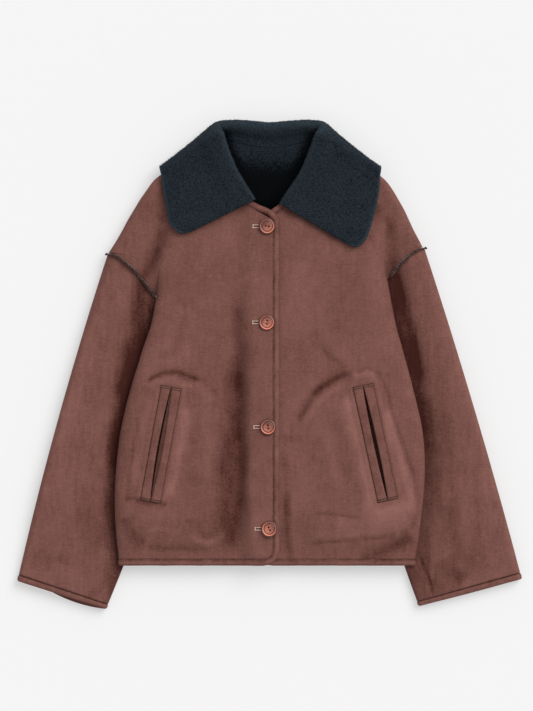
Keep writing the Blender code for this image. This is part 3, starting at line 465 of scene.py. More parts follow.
def under_return(side, u, y):
    """The height of the front's lower face where it turns back under the body."""
    past = inside_sleeve(side, u, y)
    falling = smooth((past - 1) / 20) * smooth((-y - 6) / 14)
    return (sleeve_top(side, u, y) + LAYER_GAP) * (1 - falling)


def front_section(side, y, flat_columns=FRONT_COLUMNS[0], edge_columns=FRONT_COLUMNS[1]):
    """One row of the front's outer face as (signed lateral, z), from its front edge to its far seam."""
    size = SIDES[side]
    tip_y = size["shoulder_tip"][1]
    folded = y < armhole(side, size["fold_share"])[1] + 0.01
    edge = float(body_edge(side, y))
    start = front_start(side, y)
    seam = side_seam(side, y)
    if folded:
        seam += SEAM_GAP
    elif y <= tip_y:
        seam -= 2 * SEAM_GAP
    turn = edge - SIDE_ROLL
    if folded:
        reach = min(14.0, edge - seam)
        top = float(body_top(side, turn, y))
        bottom = float(under_return(side, np.array(edge - reach), y))
        middle = bottom + (top - bottom) * 0.5 * float(smooth(reach / 12))
        bend = np.linspace(0, math.pi / 2, 40)
        sine, cosine = np.sin(bend), np.cos(bend)
        upper = np.stack([turn + SIDE_ROLL * sine, middle + (top - middle) * cosine], axis=1)
        lower = np.stack([edge - reach * (1 - cosine), middle - (middle - bottom) * sine], axis=1)
        back = np.linspace(edge - reach, seam, 60)
        rest = np.stack([back, under_return(side, back, y)], axis=1)
        side_path = np.concatenate([upper, lower[1:], rest[1:]])
        surface = body_top
    else:
        if y > tip_y:
            turn = min(turn, start + 0.62 * (seam - start))
        surface = rolled_sheet
        across = np.linspace(turn, seam, 120)
        side_path = np.stack([across, surface(side, across, y)], axis=1)
    flat = np.linspace(start, turn, 160)
    flat = np.stack([flat, surface(side, flat, y)], axis=1)
    return np.concatenate([spread(flat, flat_columns + 1), spread(side_path, edge_columns + 1)[1:]])


def section_normals(path, last=None):
    """Unit normals of a section, on the left of its direction; last sets the one at its far end."""
    along = np.gradient(path, axis=0)
    normal = unit(np.stack([-along[:, 1], along[:, 0]], axis=1))
    if last is not None:
        normal[-1] = last
    return normal


def front_normals(side, section, y):
    """The front's outward normals, square to the seam where it meets the back."""
    if y > SIDES[side]["shoulder_tip"][1]:
        return section_normals(section, (1.0, 0.0))
    if y < armhole(side, SIDES[side]["fold_share"])[1] + 0.01:
        return section_normals(section, (0.0, -1.0))
    return section_normals(section)


def in_space(side, u, y, z):
    """Points in space from their laterals, y and z."""
    return np.stack(np.broadcast_arrays(SIDES[side]["sign"] * u, y, z), axis=-1)


def placed(side, section, y):
    """Section points (lateral, z) as points in space."""
    return in_space(side, section[:, 0], y, section[:, 1])


def grid_normals(grid, ring=False):
    """Unit normals of a grid of points; with ring its rows close on themselves."""
    down = np.gradient(grid, axis=0)
    across = np.roll(grid, -1, axis=1) - np.roll(grid, 1, axis=1) if ring else np.gradient(grid, axis=1)
    return unit(np.cross(down, across))


def outward_normals(outer, inner):
    """The normals of rings of points, turned away from the rings inside them."""
    normal = grid_normals(outer, ring=True)
    return -normal if np.sum(normal * (outer - inner)) < 0 else normal


def facing_up(normals):
    """1 where a face looks up, 0 where it looks down and even between."""
    return smooth((normals[..., 2] + 0.1) / 0.6)


# ---- creases ----
# Each has its width, its height (below 0 for a trough), how much lighter it is painted (below 0 for
# darker: painted shade in a trough, painted light on a ridge) and its line of (x, y) points.

FRONT_CREASES = (
    # the soft hollow beside the placket, with painted shade in it, and painted light on the cloth between
    # it and the buttons
    (9, -1.3, -0.33, (-49, 120), (-48, 60), (-46, 10), (-45, -60), (-43, -120), (-43, -190), (-50, -250),
     (-58, -300)),
    (16, -0.8, -0.27, (-57, 10), (-57, -60), (-60, -120), (-62, -180), (-62, -240), (-58, -290)),
    (12, -0.3, -0.11, (-66, -90), (-70, -140), (-72, -190), (-66, -280)),
    (7, 0.6, 0.10, (-27, 0), (-29, -90), (-28, -180), (-27, -290)),
    (9, 0.4, 0.04, (-22, 180), (-24, 100), (-26, 20)),
    (10, 0.1, 0.09, (-5, 10), (-4, -18), (-5, -50)),
    (12, 0.1, 0.11, (-24, -220), (-20, -255), (-18, -290)),
    # painted shadow on the cloth close beside the collar's edges
    (5, 0.0, -0.12, (-128, 190), (-90, 208), (-56, 224), (-26, 240)),
    (6, 0.0, -0.24, (18, 238), (50, 222), (80, 203), (108, 184)),
    (6, 0.0, -0.22, (-160, 268), (-163, 240), (-160, 208)),
    (7, 0.0, -0.24, (162, 244), (158, 215), (148, 182)),
    (34, 0.0, -0.05, (-130, 160), (-90, 140), (-40, 150)),
    # from the collar's corners down to where the sleeves begin
    (10, -1.6, -0.34, (-157, 214), (-160, 196), (-167, 172), (-176, 153), (-184, 138), (-191, 122),
     (-198, 102), (-204, 84)),
    (6, -0.5, -0.16, (-164, 180), (-171, 163), (-180, 146), (-189, 128), (-197, 108), (-202, 92)),
    (9, 0.9, 0.12, (-152, 180), (-160, 150), (-163, 116), (-160, 70)),
    (9, -1.5, -0.26, (172, 232), (177, 208), (180, 187), (183, 164), (187, 146), (192, 127), (198, 106),
     (204, 86)),
    (4, 0.9, 0.08, (167, 222), (170, 190), (171, 160), (170, 132)),
    (11, 0.8, 0.09, (148, 170), (152, 140), (158, 100), (164, 50), (168, 10)),
    # soft upright ridges over the chest
    (8, 1.2, 0.10, (-134, 92), (-140, 66), (-150, 40), (-160, 16)),
    (5, -0.7, -0.08, (-126, 96), (-130, 64), (-138, 34), (-146, 6)),
    (7, 0.8, 0.06, (-118, 84), (-121, 50), (-126, 20), (-128, 0)),
    (14, 0.6, 0.03, (-96, 130), (-92, 80), (-94, 20)),
    (24, 0.5, 0.10, (36, 160), (48, 100), (62, 40)),
    (15, -0.4, -0.04, (118, 140), (114, 90), (112, 40)),
    (5, -1.2, -0.12, (76, 24), (88, 11), (99, 2), (112, -6)),
    (8, 0.8, 0.05, (70, 44), (84, 30), (104, 14), (122, 4)),
    # the right pocket's bag pressed through
    (3.6, -2.0, -0.42, (-184, -27), (-173, -18), (-160, -13), (-148, -12), (-136, -14), (-124, -18),
     (-112, -23), (-102, -24)),
    (6, -0.7, -0.16, (-142, -18), (-128, -23), (-112, -28)),
    (5, 1.6, 0.18, (-184, -34), (-171, -25), (-156, -22), (-142, -26), (-128, -31), (-112, -37)),
    (6, 0.8, 0.08, (-178, -1), (-160, 3), (-144, 1), (-126, -5)),
    (3.4, -1.0, -0.17, (-122, -20), (-110, -24), (-99, -24), (-90, -31), (-84, -41), (-81, -50)),
    (7, 0.7, 0.08, (-116, -34), (-104, -36), (-95, -46), (-92, -62)),
    (2.4, -0.8, -0.13, (-199, -78), (-197, -90), (-197, -102)),
    (2.0, -1.1, -0.18, (-204, -112), (-206, -128), (-208, -146), (-210, -164)),
    (4.0, -0.8, -0.10, (-211, -160), (-213, -186), (-214, -206)),
    (9, 0.9, 0.14, (-180, -44), (-188, -90), (-195, -140), (-202, -176)),
    (9, 1.4, 0.31, (-124, -56), (-130, -98), (-137, -136), (-144, -170), (-150, -206)),
    (11, -0.9, -0.10, (-108, -84), (-116, -126), (-120, -160), (-112, -190)),
    (9, 0.6, 0.08, (-96, -20), (-94, -70), (-97, -130), (-98, -180)),
    (3.4, -1.8, -0.85, (-202, -201), (-188, -204.5), (-176, -206.5), (-165, -208.5), (-154, -212)),
    (6, 0.8, 0.12, (-200, -186), (-204, -160), (-200, -130)),
    (3.0, -0.5, -0.16, (-218, -202), (-206, -201), (-190, -203)),
    (3.4, -0.7, -0.10, (-130, -232), (-116, -236), (-104, -237), (-92, -234)),
    (4.0, -0.7, -0.13, (-107, -238), (-103, -250), (-94, -258), (-84, -252), (-78, -242)),
    (4.5, 1.1, 0.18, (-122, -255), (-110, -264), (-94, -268), (-78, -264), (-64, -250)),
    (5.0, -0.9, -0.18, (-190, -272), (-168, -277), (-140, -276), (-110, -277), (-86, -278)),
    (11, -1.4, -0.24, (-218, -226), (-212, -246), (-203, -260), (-188, -272)),
    (11, 1.0, 0.12, (-196, -222), (-176, -226), (-158, -226), (-140, -222)),
    (4, 0.6, 0.10, (-186, -252), (-168, -247), (-150, -250)),
    # the left pocket's bag pressed through
    (5.0, -2.0, -0.27, (39, -90), (52, -67), (64, -47), (76, -35), (90, -28), (101, -20), (112, -17),
     (123, -18)),
    (8, -0.8, -0.16, (62, -47), (75, -35), (90, -23), (105, -15), (124, -18)),
    (6, 1.6, 0.14, (48, -94), (60, -74), (72, -56), (84, -45), (97, -38), (112, -34)),
    (7, 0.7, 0.06, (30, -74), (44, -52), (58, -34), (72, -20)),
    (3.2, -1.3, -0.20, (126, -15), (134, -11), (143, -7), (154, -10), (168, -18)),
    (6, 1.2, 0.26, (122, -20), (132, -17), (144, -15), (158, -18)),
    (3.2, -1.5, -0.24, (162, -14), (171, -30), (177, -48), (181, -67), (188, -88), (195, -108),
     (200, -126), (208, -144), (214, -164), (219, -186)),
    (5, -1.2, -0.15, (217, -178), (221, -202), (222, -222), (217, -238), (206, -249), (190, -257)),
    (9, 1.3, 0.32, (172, -56), (180, -92), (190, -132), (202, -170), (212, -206), (214, -232)),
    (14, 1.2, 0.24, (132, -214), (158, -220), (184, -219), (208, -204)),
    (17, 0.9, 0.20, (90, -238), (130, -241), (160, -243), (190, -240), (214, -228)),
    (11, 1.2, 0.38, (112, -40), (122, -78), (132, -116), (143, -156), (153, -200), (158, -222)),
    (9, -0.8, -0.13, (87, -66), (102, -104), (114, -136), (112, -176)),
    (8, -0.7, -0.05, (60, -112), (72, -152), (86, -196)),
    (7, 0.8, 0.10, (78, -92), (92, -140), (100, -192)),
    (11, 0.7, 0.06, (44, -130), (48, -170), (46, -226)),
    (2.6, -0.9, -0.18, (66, -222), (92, -224), (116, -227), (138, -233)),
    (2.6, -1.2, -0.24, (58, -268), (74, -269), (92, -266), (108, -266)),
    (3.4, -1.0, -0.18, (100, -266), (120, -264), (140, -262), (166, -260), (192, -256)),
    (5, 0.9, 0.10, (60, -257), (94, -256), (128, -255), (160, -251)),
    (10, -1.6, -0.36, (134, -292), (156, -286), (178, -278), (200, -267), (216, -254)),
    (5, -0.6, -0.14, (27, -100), (23, -126), (23, -160), (24, -190)),
    (7, -1.0, -0.32, (25, -180), (26, -230), (27, -262), (30, -300)),
    (2.8, -0.6, -0.12, (32, -88), (31, -104), (33, -120)),
)


def nearest_on(x, y, line):
    """The distance to a line of points and the share of its length where the nearest point lies."""
    line = np.asarray(line, float)
    steps = np.diff(line, axis=0)
    lengths = np.linalg.norm(steps, axis=1)
    before = np.r_[0, np.cumsum(lengths)]
    best, share = np.full(np.shape(x), 1e9), np.zeros(np.shape(x))
    for start, step, length, gone in zip(line, steps, lengths, before):
        t = np.clip(((x - start[0]) * step[0] + (y - start[1]) * step[1]) / length ** 2, 0, 1)
        apart = np.hypot(x - start[0] - t * step[0], y - start[1] - t * step[1])
        closer = apart < best
        best = np.where(closer, apart, best)
        share = np.where(closer, (gone + t * length) / before[-1], share)
    return best, share


def creased(x, y, creases, seed=0):
    """The height that creases add at points, and how much lighter they paint the cloth there: painted shade
    in troughs and painted light on ridges.
    """
    height, tone = np.zeros(np.shape(x)), np.zeros(np.shape(x))
    waver = 2.0 * drift(x, y, 23, seed + 5)
    for number, (width, tall, lighter, *line) in enumerate(creases):
        apart, share = nearest_on(x + waver, y + 0.7 * waver, line)
        near = apart < 4 * width
        if not near.any():
            continue
        uneven = 0.85 + 0.30 * drift(x, y, 26, seed + number)
        form = hump(apart, width) * smooth(share / 0.12) * smooth((1 - share) / 0.12) * uneven * near
        height += tall * form
        tone += lighter * form
    return height, tone


def cloth_grain(x, y, seed=0):
    """Low hills that keep cloth from lying dead flat."""
    return (0.45 * drift(x, y, 61, seed) + 0.25 * drift(x, y, 27, seed + 1)
            + 0.10 * drift(x, y, 11, seed + 2))


# ---- meshes ----

def piece(name, node, points, faces, finishes, tone, face_finish=None, sharp=None):
    """A mesh object from points in millimetres, which stands for its node, if it has one, and goes with the
    jacket. tone is how much lighter each point looks, and face_finish gives each face the number of its
    finish."""
    mesh = bpy.data.meshes.new(name)
    mesh.from_pydata((points * MM).tolist(), [], [tuple(face) for face in faces])
    for finish in finishes:
        mesh.materials.append(finish_of(finish))
    if face_finish is not None:
        mesh.polygons.foreach_set("material_index", np.asarray(face_finish, np.int32))
    layer = mesh.attributes.new("tone", "FLOAT", "POINT")
    layer.data.foreach_set("value", np.asarray(tone, np.float32).ravel())
    mesh.shade_smooth()
    if sharp is not None:
        mesh.set_sharp_from_angle(angle=math.radians(sharp))
    made = bpy.data.objects.new(name, mesh)
    bpy.context.scene.collection.objects.link(made)
    if node:
        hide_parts(node)
    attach(made, "root")


def turned_out(points, faces):
    """Quads again, turned so that they face out of the solid that they close."""
    a, b, c, d = (points[faces[:, k]] for k in range(4))
    volume = np.sum(np.cross(b, c) * a) + np.sum(np.cross(c, d) * a)
    return faces[:, ::-1] if volume < 0 else faces


def tube_faces(index):
    """The quads between rows of points whose last point meets the first."""
    ahead = np.roll(index, -1, axis=1)
    return np.stack([ahead[:-1], index[:-1], index[1:], ahead[1:]], axis=-1).reshape(-1, 4)


def wall(name, node, outer, inner, finishes, tones, ring=False, missing=None):
    """Cloth between two grids of rows and columns. finishes and tones are those of the outer and the inner
    face, and missing marks the cells that a cut takes out."""
    rows, columns = outer.shape[:2]
    points = np.concatenate([outer.reshape(-1, 3), inner.reshape(-1, 3)])
    other, last = rows * columns, columns if ring else columns - 1
    index = np.arange(rows * columns).reshape(rows, columns)
    right = np.roll(index, -1, axis=1)
    cells = np.stack([index[:-1], right[:-1], right[1:], index[1:]], axis=-1)[:, :last]
    here = np.ones(cells.shape[:2], bool) if missing is None else ~missing
    top = cells[here]
    faces = [top, other + top[:, ::-1]]
    inside = np.pad(here, 1)
    if ring:
        inside[1:-1, 0], inside[1:-1, -1] = here[:, -1], here[:, 0]
    middle = inside[1:-1, 1:-1]
    for beside, a, b in ((inside[:-2, 1:-1], 0, 1), (inside[1:-1, 2:], 1, 2),
                         (inside[2:, 1:-1], 2, 3), (inside[1:-1, :-2], 3, 0)):
        rim = cells[middle & ~beside]
        faces.append(np.stack([rim[:, a], other + rim[:, a], other + rim[:, b], rim[:, b]], axis=1))
    faces = turned_out(points, np.concatenate(faces))
    numbers = np.zeros(len(faces), np.int32)
    numbers[len(top):2 * len(top)] = len(finishes) - 1
    piece(name, node, points, faces.tolist(), finishes, np.stack(tones), numbers)


def strip(name, node, sections, finishes, tone, numbers=0):
    """A solid through closed sections with the same number of points each, capped at both ends. numbers
    gives the finish of each face round a section."""
    count, around = sections.shape[:2]
    index = np.arange(count * around).reshape(count, around)
    quads = tube_faces(index)
    points = sections.reshape(-1, 3)
    turned = turned_out(points, quads)
    ends = [index[0].tolist(), index[-1, ::-1].tolist()]
    if turned[0, 0] != quads[0, 0]:
        ends = [end[::-1] for end in ends]
    finish = np.broadcast_to(numbers, (count - 1, around)).ravel().tolist() + [0, 0]
    piece(name, node, points, turned.tolist() + ends, finishes, tone, finish)


# ---- finishes ----

class Amount:
    """A number that varies over a surface. Arithmetic on it adds the nodes that work it out."""

    def __init__(self, recipe, socket):
        self.recipe, self.socket = recipe, socket

    def _math(self, operation, *values, clamp=False):
        node = self.recipe.node("ShaderNodeMath", {"operation": operation, "use_clamp": clamp},
                                dict(enumerate(values)))
        return Amount(self.recipe, node.outputs[0])

    def __add__(self, other):
        return self._math("ADD", self, other)

    __radd__ = __add__

    def __sub__(self, other):
        return self._math("SUBTRACT", self, other)

    def __rsub__(self, other):
        return self._math("SUBTRACT", other, self)

    def __mul__(self, other):
        return self._math("MULTIPLY", self, other)

    __rmul__ = __mul__

    def clamped(self):
        return self._math("ADD", self, 0.0, clamp=True)

    def rise(self, low, high):
        """0 below low, 1 above high."""
        node = self.recipe.node("ShaderNodeMapRange", {"interpolation_type": "SMOOTHSTEP"},
                                {"Value": self, "From Min": low, "From Max": high})
        return Amount(self.recipe, node.outputs["Result"])


class Finish:
    """A material's nodes, made one by one round its Principled shader."""

    def __init__(self, name, **constants):
        self.material = bpy.data.materials.new(name)
        self.material.use_nodes = True
        self.tree = self.material.node_tree
        self.shader = self.tree.nodes["Principled BSDF"]
        for socket, value in constants.items():
            self.shader.inputs[socket.replace("_", " ")].default_value = value
        self.where = self.node("ShaderNodeTexCoord").outputs["Object"]

    def node(self, kind, settings=None, sockets=None):
        """Any node: its settings come first, then the values or links of its sockets."""
        made = self.tree.nodes.new(kind)
        for setting, value in (settings or {}).items():
            setattr(made, setting, value)
        for key, value in (sockets or {}).items():
            self.feed(made.inputs[key], value)
        return made

    def feed(self, socket, value):
        value = value.socket if isinstance(value, Amount) else value
        if isinstance(value, bpy.types.NodeSocket):
            self.tree.links.new(value, socket)
        else:
            socket.default_value = value

    def noise(self, size, detail, roughness, stretch=None, distortion=0.0):
        """Noise whose features are about size mm across; stretch draws them out along each axis."""
        where = self.where
        if stretch is not None:
            where = self.node("ShaderNodeMapping", {}, {"Vector": where, "Scale": stretch}).outputs[0]
        made = self.node("ShaderNodeTexNoise", {}, {
            "Vector": where, "Scale": 1 / (size * MM), "Detail": detail, "Roughness": roughness,
            "Distortion": distortion})
        return Amount(self, made.outputs["Fac"])

    def cells(self, size, smoothness):
        """Rounded cells about size mm across: the distance from each one's middle."""
        made = self.node("ShaderNodeTexVoronoi", {"feature": "SMOOTH_F1"}, {
            "Vector": self.where, "Scale": 1 / (size * MM), "Smoothness": smoothness})
        return Amount(self, made.outputs["Distance"])

    def tone(self):
        """How much lighter each point of the mesh says that it is: for the most part painted light and
        shade.
        """
        return Amount(self, self.node("ShaderNodeAttribute", {"attribute_name": "tone"}).outputs["Fac"])

    def colour(self, factor, dark, light):
        """The base colour, between two."""
        made = self.node("ShaderNodeMix", {"data_type": "RGBA"}, {"Factor": factor})
        for key, value in (("A", dark), ("B", light)):
            socket = [s for s in made.inputs if s.name == key and s.type == "RGBA"][0]
            self.feed(socket, (*value, 1))
        mixed = [s for s in made.outputs if s.type == "RGBA"][0]
        self.feed(self.shader.inputs["Base Color"], mixed)

    def rough(self, value):
        self.feed(self.shader.inputs["Roughness"], value)

    def bump(self, height, depth):
        """Low relief, depth mm deep where the height goes from 0 to 1."""
        made = self.node("ShaderNodeBump", {}, {"Height": height, "Distance": depth * MM, "Strength": 1.0})
        self.feed(self.shader.inputs["Normal"], made.outputs["Normal"])


def times(colour, factor):
    return tuple(min(1.0, part * factor) for part in colour)


SUEDE_DEEP = (0.300, 0.178, 0.150)      # the darkest and lightest the suede is painted, in its mottle and in painted shade and light, as shares of its colour
SUEDE_LIGHT = (1.69, 1.84, 1.87)
RAW_EDGE_COLOUR = (0.036, 0.034, 0.031)
# the buttonholes' slits are painted this dark as the shade in the cut
SLIT_SHADE_COLOUR = (0.012, 0.008, 0.008)


def suede_finish(name, colour, streaks=0.0, contrast=1.0):
    """Napped suede: soft patches, a fine mottle and short strokes in its pile, with painted shade in
    creases and painted light on ridges from the mesh's tone.
    """
    finish = Finish(name, Specular_IOR_Level=0.12, Sheen_Weight=0.04, Sheen_Roughness=0.5,
                    Sheen_Tint=(1.0, 0.72, 0.62, 1.0))
    cloud = finish.noise(70, 2, 0.5)
    patch = finish.noise(17, 3, 0.5, distortion=0.4)
    mottle = finish.noise(4.2, 3, 0.6)
    fine = finish.noise(1.9, 2, 0.6)
    strokes = finish.noise(5.5, 3, 0.6, stretch=(1.0, 0.16, 1.0))
    brushed = finish.noise(2.4, 2, 0.6, stretch=(0.25, 1.0, 1.0))
    tone = (0.5 + (cloud - 0.5) * 0.26 * contrast + (patch - 0.5) * 0.20 * contrast
            + (mottle - 0.5) * 0.24 + (fine - 0.5) * 0.46 + (strokes - 0.5) * (0.26 + streaks)
            + (brushed - 0.5) * 0.26 + finish.tone())
    if streaks:
        tone = tone + (finish.noise(15, 3, 0.55, stretch=(1.0, 0.10, 1.0)) - 0.5) * 2.2 * streaks
    deep, light = (tuple(part * share for part, share in zip(colour, shares))
                   for shares in (SUEDE_DEEP, SUEDE_LIGHT))
    finish.colour(tone.clamped(), deep, light)
    finish.rough(0.80 + mottle * 0.18)
    nap_shading = finish.noise(0.7, 2, 0.7)
    finish.bump(fine * 0.55 + nap_shading * 0.35 + mottle * 0.4, 0.34)
    return finish.material


def fleece_finish(name, colour, curl, shine=0.04):
    """Curly pile: painted shade in the gaps between curls, lighter tips, and fine fibres over all."""
    finish = Finish(name, Specular_IOR_Level=0.06, Sheen_Weight=shine, Sheen_Roughness=0.55,
                    Sheen_Tint=(0.62, 0.74, 1.0, 1.0))
    curls_seen = 1 - finish.cells(curl, 0.35) * 1.15
    knots = 1 - finish.cells(curl * 0.5, 0.3) * 1.1
    threads = finish.noise(1.2, 3, 0.7, distortion=1.2)
    tips = finish.noise(2.1, 2, 0.6)
    patch = finish.noise(30, 2, 0.5)
    tone = (0.12 + curls_seen * 0.34 + knots * 0.22 + (threads - 0.5) * 0.85 + (patch - 0.5) * 0.06
            + tips.rise(0.60, 0.80) * 0.22 + finish.tone())
    finish.colour(tone.clamped(), times(colour, 0.06), times(colour, 2.1))
    finish.rough(0.86 + threads * 0.14)
    finish.bump(curls_seen * 0.9 + knots * 0.5 + threads * 0.5, 0.8)
    return finish.material


def horn_finish(name, colour):
    """Turned and varnished button stock with a fine even grain."""
    finish = Finish(name, Specular_IOR_Level=0.4, Coat_Weight=0.35, Coat_Roughness=0.14)
    grain = finish.noise(1.2, 4, 0.6, stretch=(1.0, 0.14, 1.0), distortion=0.8)
    flecks = finish.noise(0.5, 2, 0.6)
    tone = 0.5 + (grain - 0.5) * 0.9 + (flecks - 0.5) * 0.35 + finish.tone()
    finish.colour(tone.clamped(), times(colour, 0.20), times(colour, 1.60))
    finish.rough(0.34 + grain * 0.18)
    finish.bump(grain, 0.06)
    return finish.material


def thread_finish(name, colour):
    """Twisted thread."""
    finish = Finish(name, Specular_IOR_Level=0.25)
    twist = finish.noise(0.5, 2, 0.6, stretch=(1.0, 0.5, 1.0))
    finish.colour(twist, times(colour, 0.6), times(colour, 1.3))
    finish.rough(0.62 + twist * 0.2)
    finish.bump(twist, 0.08)
    return finish.material


def floor_finish(name, colour, glow):
    """A pale floor lit a little from within, as a light table is, so that shadows on it stay faint."""
    finish = Finish(name, Roughness=0.85, Specular_IOR_Level=0.1, Emission_Strength=glow,
                    Emission_Color=(1.0, 1.0, 1.0, 1.0))
    finish.colour(finish.noise(260, 2, 0.5), times(colour, 0.995), times(colour, 1.005))
    return finish.material


FINISHES = {}


def finish_of(name):
    """One of the jacket's finishes, made once from the colours in the sidebar."""
    if name in FINISHES:
        return FINISHES[name]
    hues = bpy.context.scene.jacket_colours
    curl = bpy.context.scene.jacket_pile.curl_size
    maker, colour, *rest = {
        "suede": (suede_finish, hues.suede),
        "suede_sleeve": (suede_finish, hues.suede, 0.10),
        "binding": (suede_finish, hues.binding, 0.0, 0.5),
        "fleece": (fleece_finish, hues.fleece, curl),
        "raw_edge": (fleece_finish, RAW_EDGE_COLOUR, 1.5, 0.0),
        "horn": (horn_finish, hues.button),
        "thread": (thread_finish, hues.thread),
        "pale_thread": (thread_finish, hues.buttonhole),
        "dark_slit": (thread_finish, SLIT_SHADE_COLOUR),
    }[name]
    FINISHES[name] = maker(name, tuple(colour), *rest)
    return FINISHES[name]


# ---- the cloth ----

def slit_frame(side):
    """The pocket slit's ends, its direction and the direction across it, in plan."""
    top, bottom = (np.array(p, float) for p in POCKET_SLIT[side])
    along = unit(bottom - top)
    return top, bottom, along, np.array([-along[1], along[0]])


def slit_cells(side, grid):
    """The cells of a front's grid that its pocket slit takes out."""
    top, bottom, along, across = slit_frame(side)
    middles = (grid[:-1, :-1] + grid[1:, 1:]) / 2
    flat = np.stack([SIDES[side]["sign"] * middles[..., 0], middles[..., 1]], axis=-1) - top
    share = flat @ along / np.linalg.norm(bottom - top)
    half = 1.7 + (SLIT_OPEN[side] + 0.2) * np.sin(math.pi * np.clip(share, 0, 1))
    on_top = middles[..., 2] > HEM_HEIGHT
    return (share > 0.03) & (share < 0.97) & (np.abs(flat @ across) < half) & on_top


def front_rows(side):
    """The rows' y from the hem to the top, through every corner of the panel's edge."""
    fold_y = float(armhole(side, SIDES[side]["fold_share"])[1])
    tip_y = SIDES[side]["shoulder_tip"][1]
    above = [y for y in NECK_CORNER[side]["y"] if y > tip_y + 14]
    lower = [PANEL_HEM_Y, HEM_Y + FRONT_CORNER_RADIUS, SIDES[side]["underarm"][1] - 1, fold_y]
    return stops(*lower, fold_y + 0.6, tip_y, tip_y + 1.2, *above, TOP_ROW_Y)


def front_grids(side):
    """The front's smooth outer face and its outward normals."""
    outer, normals = [], []
    for y in front_rows(side):
        section = front_section(side, y)
        outer.append(placed(side, section, y))
        normals.append(placed(side, front_normals(side, section, y), 0.0))
    return np.array(outer), np.array(normals)


def front_relief(x, y):
    """The height and tone that creases and the pockets' bags give the fronts."""
    height, tone = creased(x, y, FRONT_CREASES)
    height = height + cloth_grain(x, y)
    for side in SIDES:
        held, lip, beside = welt_relief(side, x, y)
        height = height * held + lip
        # the raised lip round a pocket's frame is painted a little lighter
        tone = tone * (0.4 + 0.6 * held) + 0.05 * hump(beside - 4, 3)
    return height, tone


def rim_fade(grid):
    """1 inside a grid and 0 at its two long edges, so that relief ends where a seam holds the cloth."""
    step = np.linalg.norm(np.diff(grid, axis=1), axis=2)
    along = np.concatenate([np.zeros((len(grid), 1)), np.cumsum(step, axis=1)], axis=1)
    left = along[:, -1:] - along
    return smooth(along / SEAM_HOLD) * smooth(left / SEAM_HOLD)


def ends_fade(grid):
    """The same at its first and last rows."""
    return rim_fade(np.swapaxes(grid, 0, 1)).T


def front_cloth(side):
    grid, normals = front_grids(side)
    height, tone = front_relief(grid[..., 0], grid[..., 1])
    facing = facing_up(normals)
    held = rim_fade(grid) * (0.15 + 0.85 * ends_fade(grid))
    hidden = cloth_grain(grid[..., 0] + 40, grid[..., 1], 9) * (1 - facing)
    outer = grid + normals * ((height * facing + hidden) * held)[..., None]
    tone = tone * facing
    wall(f"front_{side}_cloth", "front_" + side, outer, outer - normals * CLOTH,
         ("suede", "fleece"), (tone, 0 * tone), missing=slit_cells(side, grid))


def sleeve_grid(side, stations, thickness_in=0.0, swell=0.0, lap=True):
    """Rings round the sleeve at stations from the cuff (0) to the armhole (1)."""
    under_count, bend_count, over_count = SLEEVE_COLUMNS
    fold = SIDES[side]["fold_share"]
    under = np.linspace(OUTER_FOLD, 1 - INNER_FOLD, under_count)
    over = np.linspace(1 - INNER_FOLD, OUTER_FOLD, over_count)
    turns = np.radians(np.linspace(-90, 90, bend_count + 2)[1:-1])
    on_top = np.zeros(under_count + 2 * bend_count + over_count, bool)
    on_top[under_count + bend_count:][:over_count] = True
    rings = []
    for v, puff in zip(stations, np.broadcast_to(swell, np.shape(stations))):
        outer, inner = sleeve_edges(side, np.array(v))
        grow = (puff - thickness_in) / float(np.linalg.norm(inner - outer))
        top_of = lambda share: sleeve_top_at(side, share, np.full(np.shape(share), v)) + puff
        shares, heights = [under], [np.full(under_count, thickness_in)]
        high = float(top_of(np.array([1 - INNER_FOLD]))[0])
        shares.append(1 - INNER_FOLD + (INNER_FOLD + grow) * np.cos(turns))
        heights.append(high / 2 + (high / 2 - thickness_in) * np.sin(turns))
        shares.append(over)
        heights.append(top_of(over) - thickness_in)
        high = float(top_of(np.array([OUTER_FOLD]))[0])
        shares.append(OUTER_FOLD - (OUTER_FOLD + grow) * np.cos(turns[::-1]))
        heights.append(high / 2 + (high / 2 - thickness_in) * np.sin(turns[::-1]))
        share, height = np.concatenate(shares), np.concatenate(heights)
        tuck = SEAM_LAP * smooth((v - 0.95) / 0.05) * smooth((share - fold - 0.06) / 0.1) * on_top * lap
        place = sleeve_plan(side, share, np.full(len(share), float(v)), tuck)
        rings.append(in_space(side, place[:, 0], place[:, 1], height))
    return np.array(rings)


def sleeve_top_at(side, s, v):
    place = sleeve_plan(side, s, v)
    return sleeve_top(side, place[..., 0], place[..., 1])


